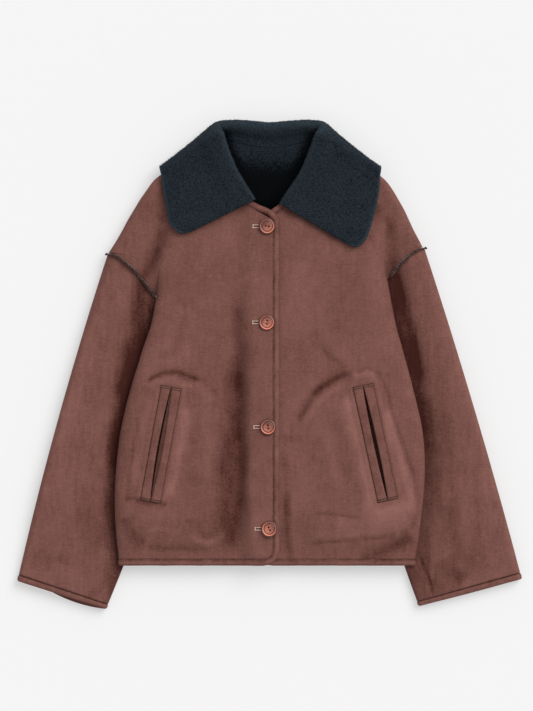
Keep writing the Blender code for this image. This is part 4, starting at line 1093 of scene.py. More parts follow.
SLEEVE_CREASES = {
    "right": (
        # the shoulder's fold runs on down the arm, and soft long folds lie beside it
        (11, -1.4, -0.38, (-180, 150), (-190, 124), (-195, 106), (-199, 82), (-203, 52), (-210, 22),
         (-222, -24), (-230, -60)),
        (14, -1.0, -0.05, (-234, 96), (-258, 16), (-282, -74), (-302, -164)),
        (16, 1.2, 0.06, (-262, 70), (-288, -24), (-314, -124), (-336, -226)),
        (9, -0.6, -0.06, (-318, -20), (-340, -120), (-362, -230)),
        (12, -0.7, -0.04, (-200, -250), (-240, -262), (-290, -272)),
        (9, -0.6, -0.10, (-356, -284), (-330, -292), (-300, -296)),
        (9, 0.8, 0.04, (-330, -300), (-300, -316), (-262, -334)),
        (6, -0.6, -0.12, (-252, -338), (-258, -344), (-270, -340)),
        (5, -0.3, -0.12, (-262, -352), (-290, -345), (-318, -336)),
    ),
    "left": (
        (9, -1.4, -0.36, (186, 150), (192, 127), (197, 110), (202, 88), (209, 62), (216, 38), (224, 0),
         (230, -40)),
        (14, -1.0, -0.05, (214, 90), (240, 10), (262, -80), (286, -180)),
        (15, 1.2, 0.06, (246, 90), (272, 0), (298, -110), (322, -220)),
        (6, -0.5, -0.09, (262, -66), (268, -130), (272, -200), (276, -280)),
        (7, 0.7, 0.07, (276, -70), (284, -140), (290, -220), (294, -300)),
        (6, -0.6, -0.08, (296, -70), (306, -150), (312, -230), (316, -300)),
        (9, 0.6, 0.05, (322, -100), (332, -180), (340, -260)),
        (14, -0.8, -0.20, (258, -290), (272, -314), (292, -330)),
        # the seam under the arm comes round to the top beside the hem
        (1.9, -1.6, -0.42, (217, -268), (224, -286), (232, -306), (240, -328), (247, -352)),
        (9, -0.4, -0.10, (232, -286), (240, -306), (249, -330), (256, -348)),
        (7, -0.3, -0.10, (262, -346), (284, -342), (310, -338), (336, -332)),
        (20, -0.4, -0.14, (262, -210), (278, -250), (292, -290), (296, -330)),
    ),
}
UNDERARM_SEAM = ((217, -268), (224, -286), (232, -306), (240, -328), (245, -345))
# How dark the body's painted shadow on the sleeve is: above the pockets, beside them and by the hem, and
# how far out.
BODY_SHADOW_ON_SLEEVE = {"right": (0.34, 0.50, 0.30, 21.0), "left": (0.38, 0.44, 0.16, 28.0)}


def sleeve_relief(side, x, y):
    """The height and tone that creases give a sleeve."""
    height, tone = creased(x, y, SLEEVE_CREASES[side], 3)
    return height + cloth_grain(x, y, 21), tone


def sleeve_cloth(side):
    stations = np.concatenate([np.linspace(CUFF_BINDING_SHARE + 0.001, 0.96, SLEEVE_STATIONS - 20),
                               np.linspace(0.96, 1.0, 21)[1:]])
    outer, inner = (sleeve_grid(side, stations, depth) for depth in (0.0, CLOTH))
    normal = outward_normals(outer, inner)
    x, y = outer[..., 0], outer[..., 1]
    facing = facing_up(normal)
    height, tone = sleeve_relief(side, x, y)
    ends = (smooth((stations - stations[0]) / 0.03) * smooth((1.0 - stations) / 0.03))[:, None]
    # under the body the sleeve stays pressed, so that it keeps clear of the front that lies on it
    beside = np.abs(x) - body_edge(side, y)
    clear = smooth((beside - 2) / 16)
    shift = normal * (height * facing * ends * clear)[..., None]
    # the body's shadow on the sleeve is painted into the tone: darkest close beside the body's edge and
    # fading out over the reach
    near_deep, low_deep, hem_deep, reach = BODY_SHADOW_ON_SLEEVE[side]
    past = beside + 4 * drift(x, y, 30, 33)
    deep = (near_deep + (low_deep - near_deep) * smooth((80 - y) / 60)
            + (hem_deep - low_deep) * smooth((-100 - y) / 90))
    nap_shading = (0.04 * smooth((past - 30) / 60) - deep * (1 - smooth((past - 4) / reach))
           - 0.05 * (1 - smooth(past / 75)))
    tone = (tone * clear + nap_shading) * facing
    wall(f"sleeve_{side}_cloth", "sleeve_" + side, outer + shift, inner + shift,
         ("suede_sleeve", "fleece"), (tone, 0 * tone), ring=True)


def back_rows(side):
    """The rows' y at the back's side seam, the armhole and the shoulder, from the hem to the neck."""
    pit_y, tip_y = SIDES[side]["underarm"][1], SIDES[side]["shoulder_tip"][1]
    lower = np.linspace(PANEL_HEM_Y, pit_y, math.ceil((8 - PANEL_HEM_Y) / ROW_STEP))
    middle = np.linspace(pit_y, tip_y + 1.5, math.ceil(170 / ROW_STEP))[1:]
    upper = np.linspace(tip_y + 1.5, TOP_ROW_Y, BACK_NECK_ROWS)[1:]
    return np.concatenate([lower, middle, upper])


def back_half(side):
    """One half of the back's lower face, as rows (lateral, z) with their y, from the centre line out."""
    rows = []
    shared = (back_rows("right") + back_rows("left")) / 2
    table = COLLAR_BACK
    tip_y = SIDES[side]["shoulder_tip"][1]
    for y, shared_y in zip(back_rows(side), shared):
        seam = side_seam(side, y) - SEAM_GAP
        across = np.linspace(0, seam, 160)
        bow = y - through(table["neck"][::-1], table["neck_y"][::-1], across) + SEAM_GAP
        share = smooth((y - 170) / (TOP_ROW_Y - 170))
        bent = shared_y + (y - shared_y) * smooth(across / 60) - bow * share * (across < table["neck"][0])
        bent = np.minimum(bent, y) if y > tip_y else bent
        height = under_body(side, across, bent) + collar_lift(across, bent)
        if y > SIDES[side]["underarm"][1] - 1:
            middle = float(shoulder_middle(side, y)) - SEAM_GAP / 2
            outline = float(silhouette(side, y)) - (SEAM_GAP if y > tip_y else 0.0)
            height = middle - (middle - height) * quarter((outline - across) / SHOULDER_ROLL)
        path = spread(np.stack([across, height, bent], axis=1), BACK_COLUMNS + 1)
        near_outline = float(silhouette(side, y)) - seam < SHOULDER_ROLL
        square = (-1.0, 0.0) if y > tip_y else None if near_outline else (0.0, 1.0)
        normal = section_normals(path[:, :2], square)
        normal[0] = (0.0, 1.0)
        rows.append((path[:, :2], path[:, 2], normal))
    return rows


def fold_shade(x, y):
    """How much darker the neck's pile is close beside the collar's two folds."""
    shade = 0.0
    for side, width in (("right", 13.0), ("left", 17.0)):
        fold = np.interp(y, COLLAR_FRONT[side + "_roll_y"], COLLAR_FRONT[side + "_roll"])
        shade = shade - 0.34 * (1 - smooth((fold - SIDES[side]["sign"] * x - 3) / width))
    return shade


def both_halves(right, left):
    """A row right across the back, from rows that run out from the centre line."""
    return np.concatenate([right[::-1], left[1:]])


def back_cloth():
    rows = list(zip(*(back_half(side) for side in SIDES)))
    lower, upper = (np.array([both_halves(*(placed(side, path + normal * depth, bent)
                                            for side, (path, bent, normal) in zip(SIDES, row)))
                              for row in rows]) for depth in (0.0, CLOTH))
    pile = curls(upper, 4.2, 31)
    x, y = upper[..., 0], upper[..., 1]
    neck = smooth((y - 205) / 20) * smooth((95 - np.abs(x)) / 12)
    seam = through(COLLAR_BACK["neck"][::-1], COLLAR_BACK["neck_y"][::-1], np.abs(x))
    upper[..., 2] += 1.0 * (pile - 0.6) * neck + 2.1 * neck * smooth(1 - (seam - y) / 14)
    # deep in the neck the pile lies in the front's shadow
    shade = (0.11 * (pile - 0.6) - 0.01 - 1.0 * smooth((332 - y) / 100) + fold_shade(x, y)) * neck
    wall("back_cloth", "back", lower, upper, ("suede", "fleece"), (0 * shade, shade))


# ---- the collar ----

HOOK_POINTS = 22
HOOK_BEND = np.radians(np.linspace(-90, 90, HOOK_POINTS))
FALL_SHARES = np.linspace(0.011, 1.0, 90)
FRONT_SHARES = np.linspace(0, 1, 112)
BACK_SHARES = np.linspace(0, 1, 74)
SHOULDER_TURNS = np.linspace(72, -72, 24)
FALL_REACH = np.r_[np.zeros(HOOK_POINTS), FALL_SHARES]
FUZZ_SHARE = 0.26      # of the collar's points have a fibre


def collar_front_path(side, share):
    """The collar's suede face over one front: from the neck seam round the fold to its outer edge."""
    roll, edge = collar_line(side, share)
    width = np.linalg.norm(edge - roll)
    along = (edge - roll) / width
    depth, tall = between(HOOK_DEPTH, share), between(HOOK_HEIGHT, share)
    neck = roll + along * depth
    seam_z = float(one_sheet(side, neck[0], neck[1]))
    fall_gap = LAYER_GAP * (1.5 + (1 - share) ** 2)
    d = depth - (depth - COLLAR_CLOTH) * np.cos(HOOK_BEND)
    hook = np.column_stack([roll + along * d[:, None], seam_z + tall / 2 * (1 + np.sin(HOOK_BEND))])
    d = depth + (width - depth) * FALL_SHARES
    plan = roll + along * d[:, None]
    lift = tall * (1 - smooth((d - depth) / 34)) + fall_gap * smooth(FALL_SHARES / 0.14)
    fall = np.column_stack([plan, one_sheet(side, plan[:, 0], plan[:, 1]) + lift])
    return np.concatenate([hook, fall])


def collar_back_path(share):
    """The same at the back, where the fold stands up and the fall lies under the body."""
    take = lambda column: float(through(COLLAR_BACK["share"], COLLAR_BACK[column], share))
    roll = np.array([take("roll"), take("roll_y")])
    neck = np.array([take("neck"), take("neck_y")])
    edge = np.array([take("edge"), take("edge_y")])
    width = np.linalg.norm(edge - roll)
    fall, stand = (edge - roll) / width, neck - roll
    turn = unit(stand) * (COLLAR_CLOTH + 2.5)
    top = COLLAR_ROLL_HEIGHT
    rise = top - COLLAR_LIFT
    start = COLLAR_CLOTH + 4.0
    bends = np.array([
        (*neck, COLLAR_LIFT), (*(roll + stand * 0.66), COLLAR_LIFT + 0.3 * rise),
        (*(roll + stand * 0.42), COLLAR_LIFT + 0.8 * rise), (*(roll + turn), top),
        (*(roll + fall * (COLLAR_CLOTH + 0.2)), top - 5.0),
        (*(roll + fall * (COLLAR_CLOTH + 1.2)), COLLAR_CLOTH + 4.0),
        (*(roll + fall * (start + 3)), COLLAR_CLOTH)])
    at = np.linspace(0, 5, HOOK_POINTS)
    hook = np.column_stack([through(np.arange(7), bends[:, k], at) for k in range(3)])
    reach = start + (width - start) * FALL_SHARES
    plan = roll + fall * reach[:, None]
    sink = 4.0 * (1 - smooth((reach - COLLAR_CLOTH - 1.2) / 8))
    return np.concatenate([hook, np.column_stack([plan, COLLAR_CLOTH + sink])])


def collar_shoulder_path(front, back):
    """The same on top of the shoulder, where the collar stands on edge between front and back."""
    roll, edge, neck = (np.array(COLLAR_CORNER[k], float) for k in ("roll", "edge", "neck"))
    width = np.linalg.norm(edge - roll)
    along = (edge - roll) / width
    inward = np.array([along[1], -along[0]])
    depth, gap = (neck - roll) @ along, (neck - roll) @ inward - COLLAR_CLOTH
    d = np.r_[depth - (depth - COLLAR_CLOTH) * np.cos(HOOK_BEND), depth + (width - depth) * FALL_SHARES]
    q = np.r_[COLLAR_CLOTH + gap / 2 * (1 - np.sin(HOOK_BEND)), np.full(len(FALL_SHARES), COLLAR_CLOTH)]
    plan = roll + along * d[:, None] + inward * q[:, None]
    return np.column_stack([plan, (front[:, 2] + back[:, 2]) / 2])


def collar_half(side):
    """Rows of the suede face from the front end to the centre back, with the neck seam's directions."""
    rows = [collar_front_path(side, s) for s in FRONT_SHARES]
    back = [collar_back_path(s) for s in BACK_SHARES]
    seams = [(0.0, 0.0, -1.0)] * len(rows)
    front_last, back_first = rows[-1], back[0]
    centre, half = (front_last + back_first) / 2, (front_last - back_first) / 2
    beyond = collar_shoulder_path(front_last, back_first) - centre
    for angle in np.radians(SHOULDER_TURNS):
        rows.append(centre + half * math.sin(angle) + beyond * math.cos(angle))
        seams.append((-math.cos(angle), 0.0, -math.sin(angle)))
    seams += [(0.0, 0.0, 1.0)] * len(back)
    sign = np.array((SIDES[side]["sign"], 1, 1))
    return np.array(rows + back) * sign, np.array(seams) * sign


def blurred(grid, times_over):
    """A grid of vectors again, each one evened out with its neighbours."""
    for _ in range(times_over):
        for axis in (0, 1):
            ahead, behind = np.roll(grid, -1, axis=axis), np.roll(grid, 1, axis=axis)
            edge = [slice(None)] * grid.ndim
            for at, beyond in ((0, behind), (-1, ahead)):
                edge[axis] = at
                beyond[tuple(edge)] = grid[tuple(edge)]
            grid = (grid * 2 + ahead + behind) / 4
    return grid


def collar_fuzz(roots, normals, length=1.9, radius=0.17, seed=92):
    """Short bent fibres that stand on the collar, lighter at their tips."""
    k = np.arange(len(roots))
    lean = unit(np.stack([chance(k, seed=seed + j) - 0.5 for j in range(3)], axis=1))
    tall = (length * (0.6 + 0.8 * chance(k, seed=seed + 3)))[:, None]
    ahead = unit(normals + 0.7 * lean)
    middle = roots + ahead * tall * 0.5
    tip = middle + unit(0.6 * normals + 1.1 * lean) * tall * 0.5
    side = unit(np.cross(ahead, lean))
    rise = np.cross(ahead, side)
    turn = np.radians((0, 120, 240))[None, :, None]
    rim = side[:, None] * np.cos(turn) + rise[:, None] * np.sin(turn)
    points = np.concatenate([(roots - 0.3 * ahead)[:, None] + radius * rim,
                             middle[:, None] + 0.75 * radius * rim, tip[:, None]], axis=1)
    shape = ((0, 2, 1), (0, 1, 4, 3), (1, 2, 5, 4), (2, 0, 3, 5), (3, 4, 6), (4, 5, 6), (5, 3, 6))
    faces = [tuple(first + corner for corner in face)
             for first in range(0, 7 * len(roots), 7) for face in shape]
    tone = np.tile((-0.05, -0.05, -0.05, 0.12, 0.12, 0.12, 0.34), len(roots))
    piece("collar_fuzz", None, points.reshape(-1, 3), faces, ("fleece",), tone)


def collar_cloth(curl, tall):
    """The collar with curls about curl mm wide and tall mm high, and the fibres that stand on it."""
    suede, seams = (np.concatenate([right, left[::-1][1:]])
                    for right, left in zip(*(collar_half(side) for side in SIDES)))
    normal = grid_normals(suede)
    if normal[0, -4, 2] < 0:
        normal = -normal
    normal[:, 0] = seams
    normal = unit(blurred(normal, 3))
    fleece = suede + normal * COLLAR_CLOTH
    fleece[:, :, 2] = np.maximum(fleece[:, :, 2], 0.0)
    x, y = fleece[..., 0], fleece[..., 1]
    big, small = curls(fleece, curl, 3), curls(fleece, curl * 0.52, 8)
    lumps = 0.5 * drift(x, y, 17, 4) + 0.3 * drift(x, y, 8, 6)
    above = smooth((fleece[..., 2] - 2.0) / 2.0)
    rise = (tall * (big - 0.62) + 0.35 * tall * (small - 0.6) + 0.5 * lumps) * above
    fleece = fleece + normal * rise[..., None]
    # the curls' tops are painted lighter and the gaps between them darker, painted light and shade that
    # follow the curls
    tone = 0.15 * (big - 0.62) + 0.12 * (small - 0.6) + 0.03 * lumps
    # the fold and the outer edge catch the light, and the stand behind the folds lies in shade
    row, column = np.indices(suede.shape[:2])
    tone = tone + 0.20 * hump(column - HOOK_POINTS * 0.62, 3.5) + 0.30 * smooth((FALL_REACH - 0.955) / 0.03)
    behind = smooth((HOOK_POINTS * 0.42 - column) / 3)
    x, y = fleece[..., 0], fleece[..., 1]
    tone = tone + behind * (y < 352) * fold_shade(x, y)
    wall("collar_cloth", "collar", fleece, suede, ("fleece", "suede"), (tone, 0 * tone))
    chosen = (chance(row, column, seed=91) < FUZZ_SHARE) & (column > HOOK_POINTS * 0.3)
    chosen &= fleece[..., 2] > 6
    collar_fuzz(fleece[chosen], normal[chosen])


# ---- bindings and seam edges ----

BINDING_PROFILE = np.array((
    (0.4, -3.0), (-1.1, -0.9), (-0.4, -0.3), (1.0, 0.3), (2.6, 0.7), (4.2, 0.9), (6.0, 0.85),
    (7.6, 0.45), (8.8, -0.25), (9.5, -1.1), (9.6, -1.9), (9.1, -2.8), (8.0, -3.3), (6.0, -3.5),
    (3.5, -3.5), (1.4, -3.4)))
BINDING_TONE = np.array((
    -0.3, -0.5, -0.44, -0.08, -0.20, 0.02, 0.05, 0, -0.08, -0.1, -0.1, -0.1, 0, 0, 0, -0.2))


def bound_edge(name, node, points, outward, normal, seed, floor=None):
    """A folded strip sewn along a panel's edge: a sunk seam, a rounded fold and small puckers."""
    along = distances(points)[:, None]
    reach, high = BINDING_PROFILE.T
    shown = smooth((high + 2.2) / 1.6)
    pucker = drift(along + 0 * reach, 1.3 * reach, 6.0, seed) + 0.7 * drift(along, 0 * along, 19, seed + 1)
    reach = reach + 0.16 * drift(along, 0 * along, 13, seed + 2) * smooth((reach - 4) / 4)
    high = high + 0.20 * pucker * shown
    sections = (points[:, None] + outward[:, None] * reach[..., None] + normal[:, None] * high[..., None])
    if floor is not None:
        sections[..., 2] = np.maximum(sections[..., 2], floor)
    # the puckers are painted lighter where they rise and darker in their dips
    strip(name, node, sections, ("binding",), BINDING_TONE + 0.10 * pucker * shown)


def front_edge_line(side):
    """The front panel's bound edge from the collar to the hem, as (lateral, y) with outward directions."""
    table = NECK_CORNER[side]
    radius = FRONT_CORNER_RADIUS - BINDING_WIDTH
    lap = -(FRONT_EDGE[side] - BINDING_WIDTH)
    corner = np.stack([table["lateral"][:-1], table["y"][:-1]], axis=1)[::-1].astype(float)
    upright = np.linspace(table["y"][0] - 14, PANEL_HEM_Y + radius, 12)
    straight = np.stack([np.full(12, lap), upright], axis=1)
    turn = np.radians((18, 36, 54, 72, 90))
    rounded = np.stack([lap + radius * (1 - np.cos(turn)),
                        PANEL_HEM_Y + radius * (1 - np.sin(turn))], axis=1)
    # the strip runs on under the collar's end
    run_on = corner[0] + unit(corner[0] - corner[1]) * np.array((9.0, 4.5))[:, None]
    line = np.concatenate([run_on, corner, straight, rounded])
    along = np.gradient(line, axis=0)
    outward = unit(np.stack([along[:, 1], -along[:, 0]], axis=1))
    outward[len(run_on) + len(corner):-len(turn)] = (-1.0, 0.0)
    outward[-len(turn):] = -np.stack([np.cos(turn), np.sin(turn)], axis=1)
    return line, outward


def front_bound_line(side):
    """Points, outward directions and normals along the front edge, its corner and the hem."""
    line, outs = front_edge_line(side)
    fine = denser(np.column_stack([line, np.zeros(len(line)), outs]), 270)
    line, outs = fine[:, :2], unit(fine[:, 3:5])
    edge = in_space(side, line[:, 0], line[:, 1], one_sheet(side, line[:, 0], line[:, 1]))
    section = front_section(side, PANEL_HEM_Y, 120, 120)
    section = spread(section[section[:, 0] > line[-1, 0] + 2], 150)
    around = front_normals(side, section, PANEL_HEM_Y)
    points = np.concatenate([edge, placed(side, section, PANEL_HEM_Y)])
    outward = np.concatenate([in_space(side, outs[:, 0], outs[:, 1], 0.0), repeated(TO_HEM, section)])
    normal = np.concatenate([repeated(UP, edge), placed(side, around, 0.0)])
    return points, outward, normal


def back_bound_line():
    """The same along the back's hem."""
    first = {side: back_half(side)[0] for side in SIDES}
    points = both_halves(*(placed(side, path, PANEL_HEM_Y) for side, (path, _, _) in first.items()))
    normals = -both_halves(*(placed(side, normal, 0.0) for side, (_, _, normal) in first.items()))
    return points, repeated(TO_HEM, points), normals


CUFF_PROFILE = np.array((
    (1.0, -0.6), (0.95, -0.3), (0.86, 0.3), (0.74, 0.7), (0.58, 0.88), (0.42, 0.85), (0.26, 0.6),
    (0.13, 0.2), (0.04, -0.5), (0.0, -1.2)))
# Where the lower layer of each cuff starts to show, and how far.
CUFF_SLIP = {"right": (0.38, 4.6), "left": (0.0, 1.0)}


def cuff_edge(side):
    """A cuff's binding: rings with a sunk seam, a rounded fold and small puckers."""
    share, swell = CUFF_PROFILE.T
    stations = CUFF_BINDING_SHARE * share
    outer = sleeve_grid(side, stations, swell=swell, lap=False)
    inner = sleeve_grid(side, stations, CLOTH + 0.8, swell=np.minimum(swell, 0.3), lap=False)
    inner[-1] = (inner[-1] + outer[-1]) / 2 * 0.4 + inner[-1] * 0.6
    along = distances(outer[4])[None]
    pucker = drift(along + 0 * share[:, None], 10 * share[:, None] + 0 * along, 6, 51)
    normal = outward_normals(outer, inner)
    crown = (np.sin(math.pi * share) ** 0.5)[:, None]
    outer = outer + normal * (0.18 * pucker * crown)[..., None]
    outer[..., 2] = np.maximum(outer[..., 2], 0.0)
    # the lower layer of the cuff shows past the upper one
    sign = SIDES[side]["sign"]
    start, end = (np.array(SIDES[side][key], float) for key in ("cuff_outer", "cuff_inner"))
    length = np.linalg.norm(end - start)
    across = (end - start) / length
    down = unit(np.array((sign * across[1], -across[0])))
    down = down if down[1] < 0 else -down
    first, reach = CUFF_SLIP[side]
    for grid in (outer, inner):
        at = (sign * grid[..., 0] - start[0]) * across[0] + (grid[..., 1] - start[1]) * across[1]
        at = at / length
        slip = reach * np.sin(math.pi * np.clip((at - first) / (1.0 - first), 0, 1)) ** 0.8
        low = (1 - smooth((grid[..., 2] - 3.6) / 3.0)) * smooth((0.9 - share) / 0.7)[:, None]
        grid[..., :2] += down * (slip * low)[..., None]
    # the puckers are painted lighter where they stand out and darker in their dips
    tone = 0.02 - 0.45 * hump(share - 0.97, 0.09)[:, None] + 0.10 * pucker * crown
    wall(f"cuff_{side}_binding", "cuff_binding_" + side, outer, inner,
         ("binding", "binding"), (tone, 0 * tone), ring=True)


RIDGE_PROFILE = np.array((
    (-3.6, 0.0), (-3.5, 0.45), (-3.35, 0.78), (-3.05, 0.9), (-2.75, 0.86), (-2.5, 0.98), (-2.1, 1.06),
    (-1.7, 1.02), (-1.4, 0.88), (-1.1, 0.94), (-0.75, 0.85), (-0.55, 0.5), (-0.5, 0.0)))


def seam_ridge(side):
    """The raw seam edges that stand up along the armhole: two edges of suede with pile between them."""
    size = SIDES[side]
    shares = np.linspace(-0.012, size["fold_share"] - 0.012, 170)
    place = armhole(side, shares)
    _, toward_neck = armhole_cap(side, 0.5)
    toward = np.array((size["sign"] * toward_neck[0], toward_neck[1], 0.0))
    rounded = 0.5 + 0.5 * quarter(shares / OUTER_FOLD)
    base = sleeve_top(side, place[:, 0], place[:, 1]) * rounded + (TRIM_GAP + 0.7) * smooth(shares / 0.03)
    along = distances(place)[:, None]
    ending = smooth((size["fold_share"] - shares) / 0.06 + 0.25)
    tall = ((3.8 + 1.0 * smooth((shares - 0.03) / 0.05)) * ending)[:, None]
    reach, high = RIDGE_PROFILE.T
    over = along + 0 * reach
    rough = 0.45 * drift(over, 2 * reach + 0 * along, 1.8, 61) + 0.55 * drift(along, 0 * along, 5, 62)
    wave = 0.8 * drift(along, 0 * along, 12, 63) + 0.4 * drift(along, 0 * along, 4, 65)
    across = -2.0 + (reach + 2.0) * 1.4 + (wave + 0.3 * rough) * smooth(high / 0.7)
    up = np.maximum(tall * high * (1 + 0.14 * rough), 0.0)
    points = in_space(side, place[:, 0], place[:, 1], base)
    sections = points[:, None] + toward * across[..., None] + np.array(UP) * up[..., None]
    corner = np.arange(len(RIDGE_PROFILE))
    pile = (corner >= 4) & (corner <= 9)
    specks = drift(over, 2.2 * reach + 0 * along, 1.7, 64)
    tone = np.where(pile, 0.02 + 0.70 * smooth(specks * 2.0), -0.42 + 0.2 * rough)
    strip(f"armhole_{side}_ridge", "armhole_ridge_" + side, sections,
          ("suede", "raw_edge"), tone, numbers=pile & (corner <= 8))


# ---- pockets ----

def slit_place(side, x, y):
    """How far along and across the pocket's slit a point lies, in mm from its top end."""
    top, _, along, across = slit_frame(side)
    u = SIDES[side]["sign"] * x - top[0]
    return u * along[0] + (y - top[1]) * along[1], u * across[0] + (y - top[1]) * across[1]


def welt_relief(side, x, y):
    """What the pocket's frame does to the front round it: how far relief goes on, a low lip, and how far
    away the frame is."""
    top, bottom, _, _ = slit_frame(side)
    length = np.linalg.norm(bottom - top)
    down, over = slit_place(side, x, y)
    beside = np.hypot(np.maximum(np.maximum(-down - 1.0, down - length - 1.0), 0.0),
                      np.maximum(np.abs(over) - WELT_WIDTH - 0.4, 0.0))
    return smooth((beside - 1) / 12), 1.7 * hump(beside - 3.2, 2.6) - 0.10 * (beside < 0.2), beside


# Each corner of a welt's section: its reach from where it starts, its height, and whether it starts at the
# slit (0) or at the welt's outer edge (1).
WELT_PROFILE = (
    (0.0, 0.75, 0), (0.0, 1.5, 0), (0.3, 2.3, 0), (1.1, 2.75, 0), (3.0, 2.85, 0), (0.0, 2.7, 0.5),
    (-3.4, 2.6, 1), (-1.8, 2.35, 1), (-0.9, 1.8, 1), (-0.35, 1.2, 1), (-0.1, 0.75, 1))
WELT_SEED = {"right": 71, "left": 74}


def welt_strip(side, which):
    """One of the two flat strips that edge a pocket slit, a little rounded and puckered at its seam."""
    top, bottom, _, across = slit_frame(side)
    way = 1.0 if which == "outer" else -1.0
    shares = np.linspace(0, 1, 120)
    gap = 0.3 + SLIT_OPEN[side] * np.sin(math.pi * shares) ** 0.8
    centre = top + (bottom - top) * shares[:, None]
    along = (shares * np.linalg.norm(bottom - top))[:, None]
    columns, heights, tones = [], [], []
    for near, high, share in WELT_PROFILE:
        columns.append(gap * (1 - share) + WELT_WIDTH * share + near)
        heights.append(high + 0 * gap)
        # the welt's outer edge is painted dark, a painted shadow of its side along the seam, and its edge
        # at the slit a little darker
        tones.append(-0.55 * hump(columns[-1] - WELT_WIDTH, 0.9) - 0.1 * hump(columns[-1] - gap, 0.6))
    if side == "right" and which == "inner":
        # a facing shows in the slit beside this strip
        for high in (0.05, 0.6):
            columns.append(gap * -0.35)
            heights.append(high + 0 * gap)
            tones.append(-0.06 + 0 * gap)
    reach, high, tone = (np.stack(part, axis=1) for part in (columns, heights, tones))
    seed = WELT_SEED[side]
    pucker = drift(along + 0 * reach, reach, 6.5, seed) + 0.6 * drift(along, 0 * along, 21, seed + 1)
    high = high + 0.14 * pucker * smooth((high - 1.2) / 1.0)
    u = centre[:, None, 0] + across[0] * way * reach
    y = centre[:, None, 1] + across[1] * way * reach
    sections = in_space(side, u, y, body_top(side, u, y) + high)
    # the puckers are painted lighter where they rise
    strip(f"pocket_{side}_{which}_welt", f"pocket_welt_{side}_{which}", sections,
          ("binding",), tone + 0.07 * pucker)


def pocket_cloth(side):
    """The pocket's inner cloth: a shallow dish whose rim meets the inside of the front."""
    centre_u, centre_y, half_width, half_height = POCKET_BAG[side]
    angles = full_turn(96)
    shape = (np.abs(np.cos(angles)) ** 3 + np.abs(np.sin(angles)) ** 3) ** (-1 / 3)
    upper = []
    for ring in (1.0, 0.97, 0.94, 0.91, 0.88, 0.85, 0.82, 0.7, 0.55, 0.4, 0.25, 0.1, 0.02):
        u = centre_u + half_width * ring * shape * np.cos(angles)
        y = centre_y + half_height * ring * shape * np.sin(angles)
        depth = POCKET_DEPTH * float(smooth((1 - ring) / 0.2)) + 0.5 * drift(u, y, 17, 81)
        upper.append(in_space(side, u, y, body_top(side, u, y) - CLOTH - 2.4 * TRIM_GAP - depth - 0.8))
    upper = np.array(upper)
    wall(f"pocket_{side}_cloth", "pocket_bag_" + side, upper,
         upper - np.array((0, 0, POCKET_CLOTH)), ("binding",), (np.full(upper.shape[:2], -0.1),) * 2,
         ring=True)


# ---- buttons, buttonholes and stitching ----

def button_base(number):
    """A button's underside, from its node's box."""
    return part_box(f"button_{number}")[0][2] / MM


BUTTON_TURNING = np.array((
    (8.4, 0.0), (9.8, 0.2), (10.9, 0.7), (11.6, 1.4), (12.0, 2.2), (12.0, 2.9), (11.75, 3.6), (11.3, 4.15),
    (10.7, 4.5), (10.1, 4.6), (9.5, 4.4), (9.0, 3.95), (8.6, 3.5), (8.3, 3.2), (8.0, 3.1), (7.65, 3.2),
    (7.2, 3.45), (6.6, 3.55), (5.8, 3.4), (4.8, 3.2)))
HOLE_RADIUS = 1.3
HOLE_TURNING = ((HOLE_RADIUS + 0.35, 2.98), (HOLE_RADIUS, 2.75), (HOLE_RADIUS, 0.0))
HOLE_PLACE = 2.35      # from the button's middle
BUTTON_SIDES = 72
HOLE_SIDES = 24
BUTTON_TURN = (82, -8, 4, 22)     # how far round each button's pair of holes is turned, in degrees
BUTTON_DARK = (0.26, 0.12, 0.24, 0.17)      # how dark each one's stock is


def circle(centre, radius, angles, height):
    return np.column_stack([centre[0] + radius * np.cos(angles), centre[1] + radius * np.sin(angles),
                            np.full(len(angles), height)])


def button_lean(number):
    """How far a button is turned, and the direction from its middle to its first hole."""
    lean = math.radians(BUTTON_TURN[number - 1])
    return lean, np.array((-math.sin(lean), math.cos(lean)))


def turned_button(number, place):
    """A two-hole button: a round rim, a turned groove inside it and a slightly sunk middle."""
    lean, across = button_lean(number)
    angles = full_turn(BUTTON_SIDES)
    parts = [circle((0, 0), radius, angles, height) for radius, height in BUTTON_TURNING]
    for way in (1, -1):
        turn = full_turn(HOLE_SIDES, way * math.pi / 2 + lean)
        parts += [circle(across * way * HOLE_PLACE, radius, turn, height)
                  for radius, height in HOLE_TURNING]
    points = np.concatenate(parts)
    turned = len(BUTTON_TURNING) * BUTTON_SIDES
    body = np.arange(turned).reshape(-1, BUTTON_SIDES)
    holes = np.arange(turned, len(points)).reshape(2, len(HOLE_TURNING), HOLE_SIDES)
    faces = []
    for index in (body, *holes):
        faces += tube_faces(index)[:, (1, 0, 3, 2)].tolist()
    faces += flat_with_holes(points, body[-1], holes[:, 0], up=True)
    faces += flat_with_holes(points, body[0], holes[:, -1], up=False)
    seen, around = np.hypot(points[:, 0], points[:, 1]), np.arctan2(points[:, 1], points[:, 0])
    # the tone paints a highlight on the rim's crest, shade in the groove and round the outer edge, and a
    # sheen brighter on one side of each button
    painted_sheen = np.cos(around + 0.5 + 0.4 * number)
    tone = (0.42 * hump(seen - 9.6, 0.8) - 0.70 * hump(seen - 7.9, 0.7)
            - 1.0 * smooth((seen - 10.2) / 0.7)
            + 0.32 * painted_sheen * smooth((seen - 2) / 7) * (1 - smooth((seen - 10.6) / 0.8))
            - BUTTON_DARK[number - 1])
    piece(f"button_{number}_turned", f"button_{number}",
          points + np.array((*place, button_base(number))), faces, ("horn",), tone, sharp=60)


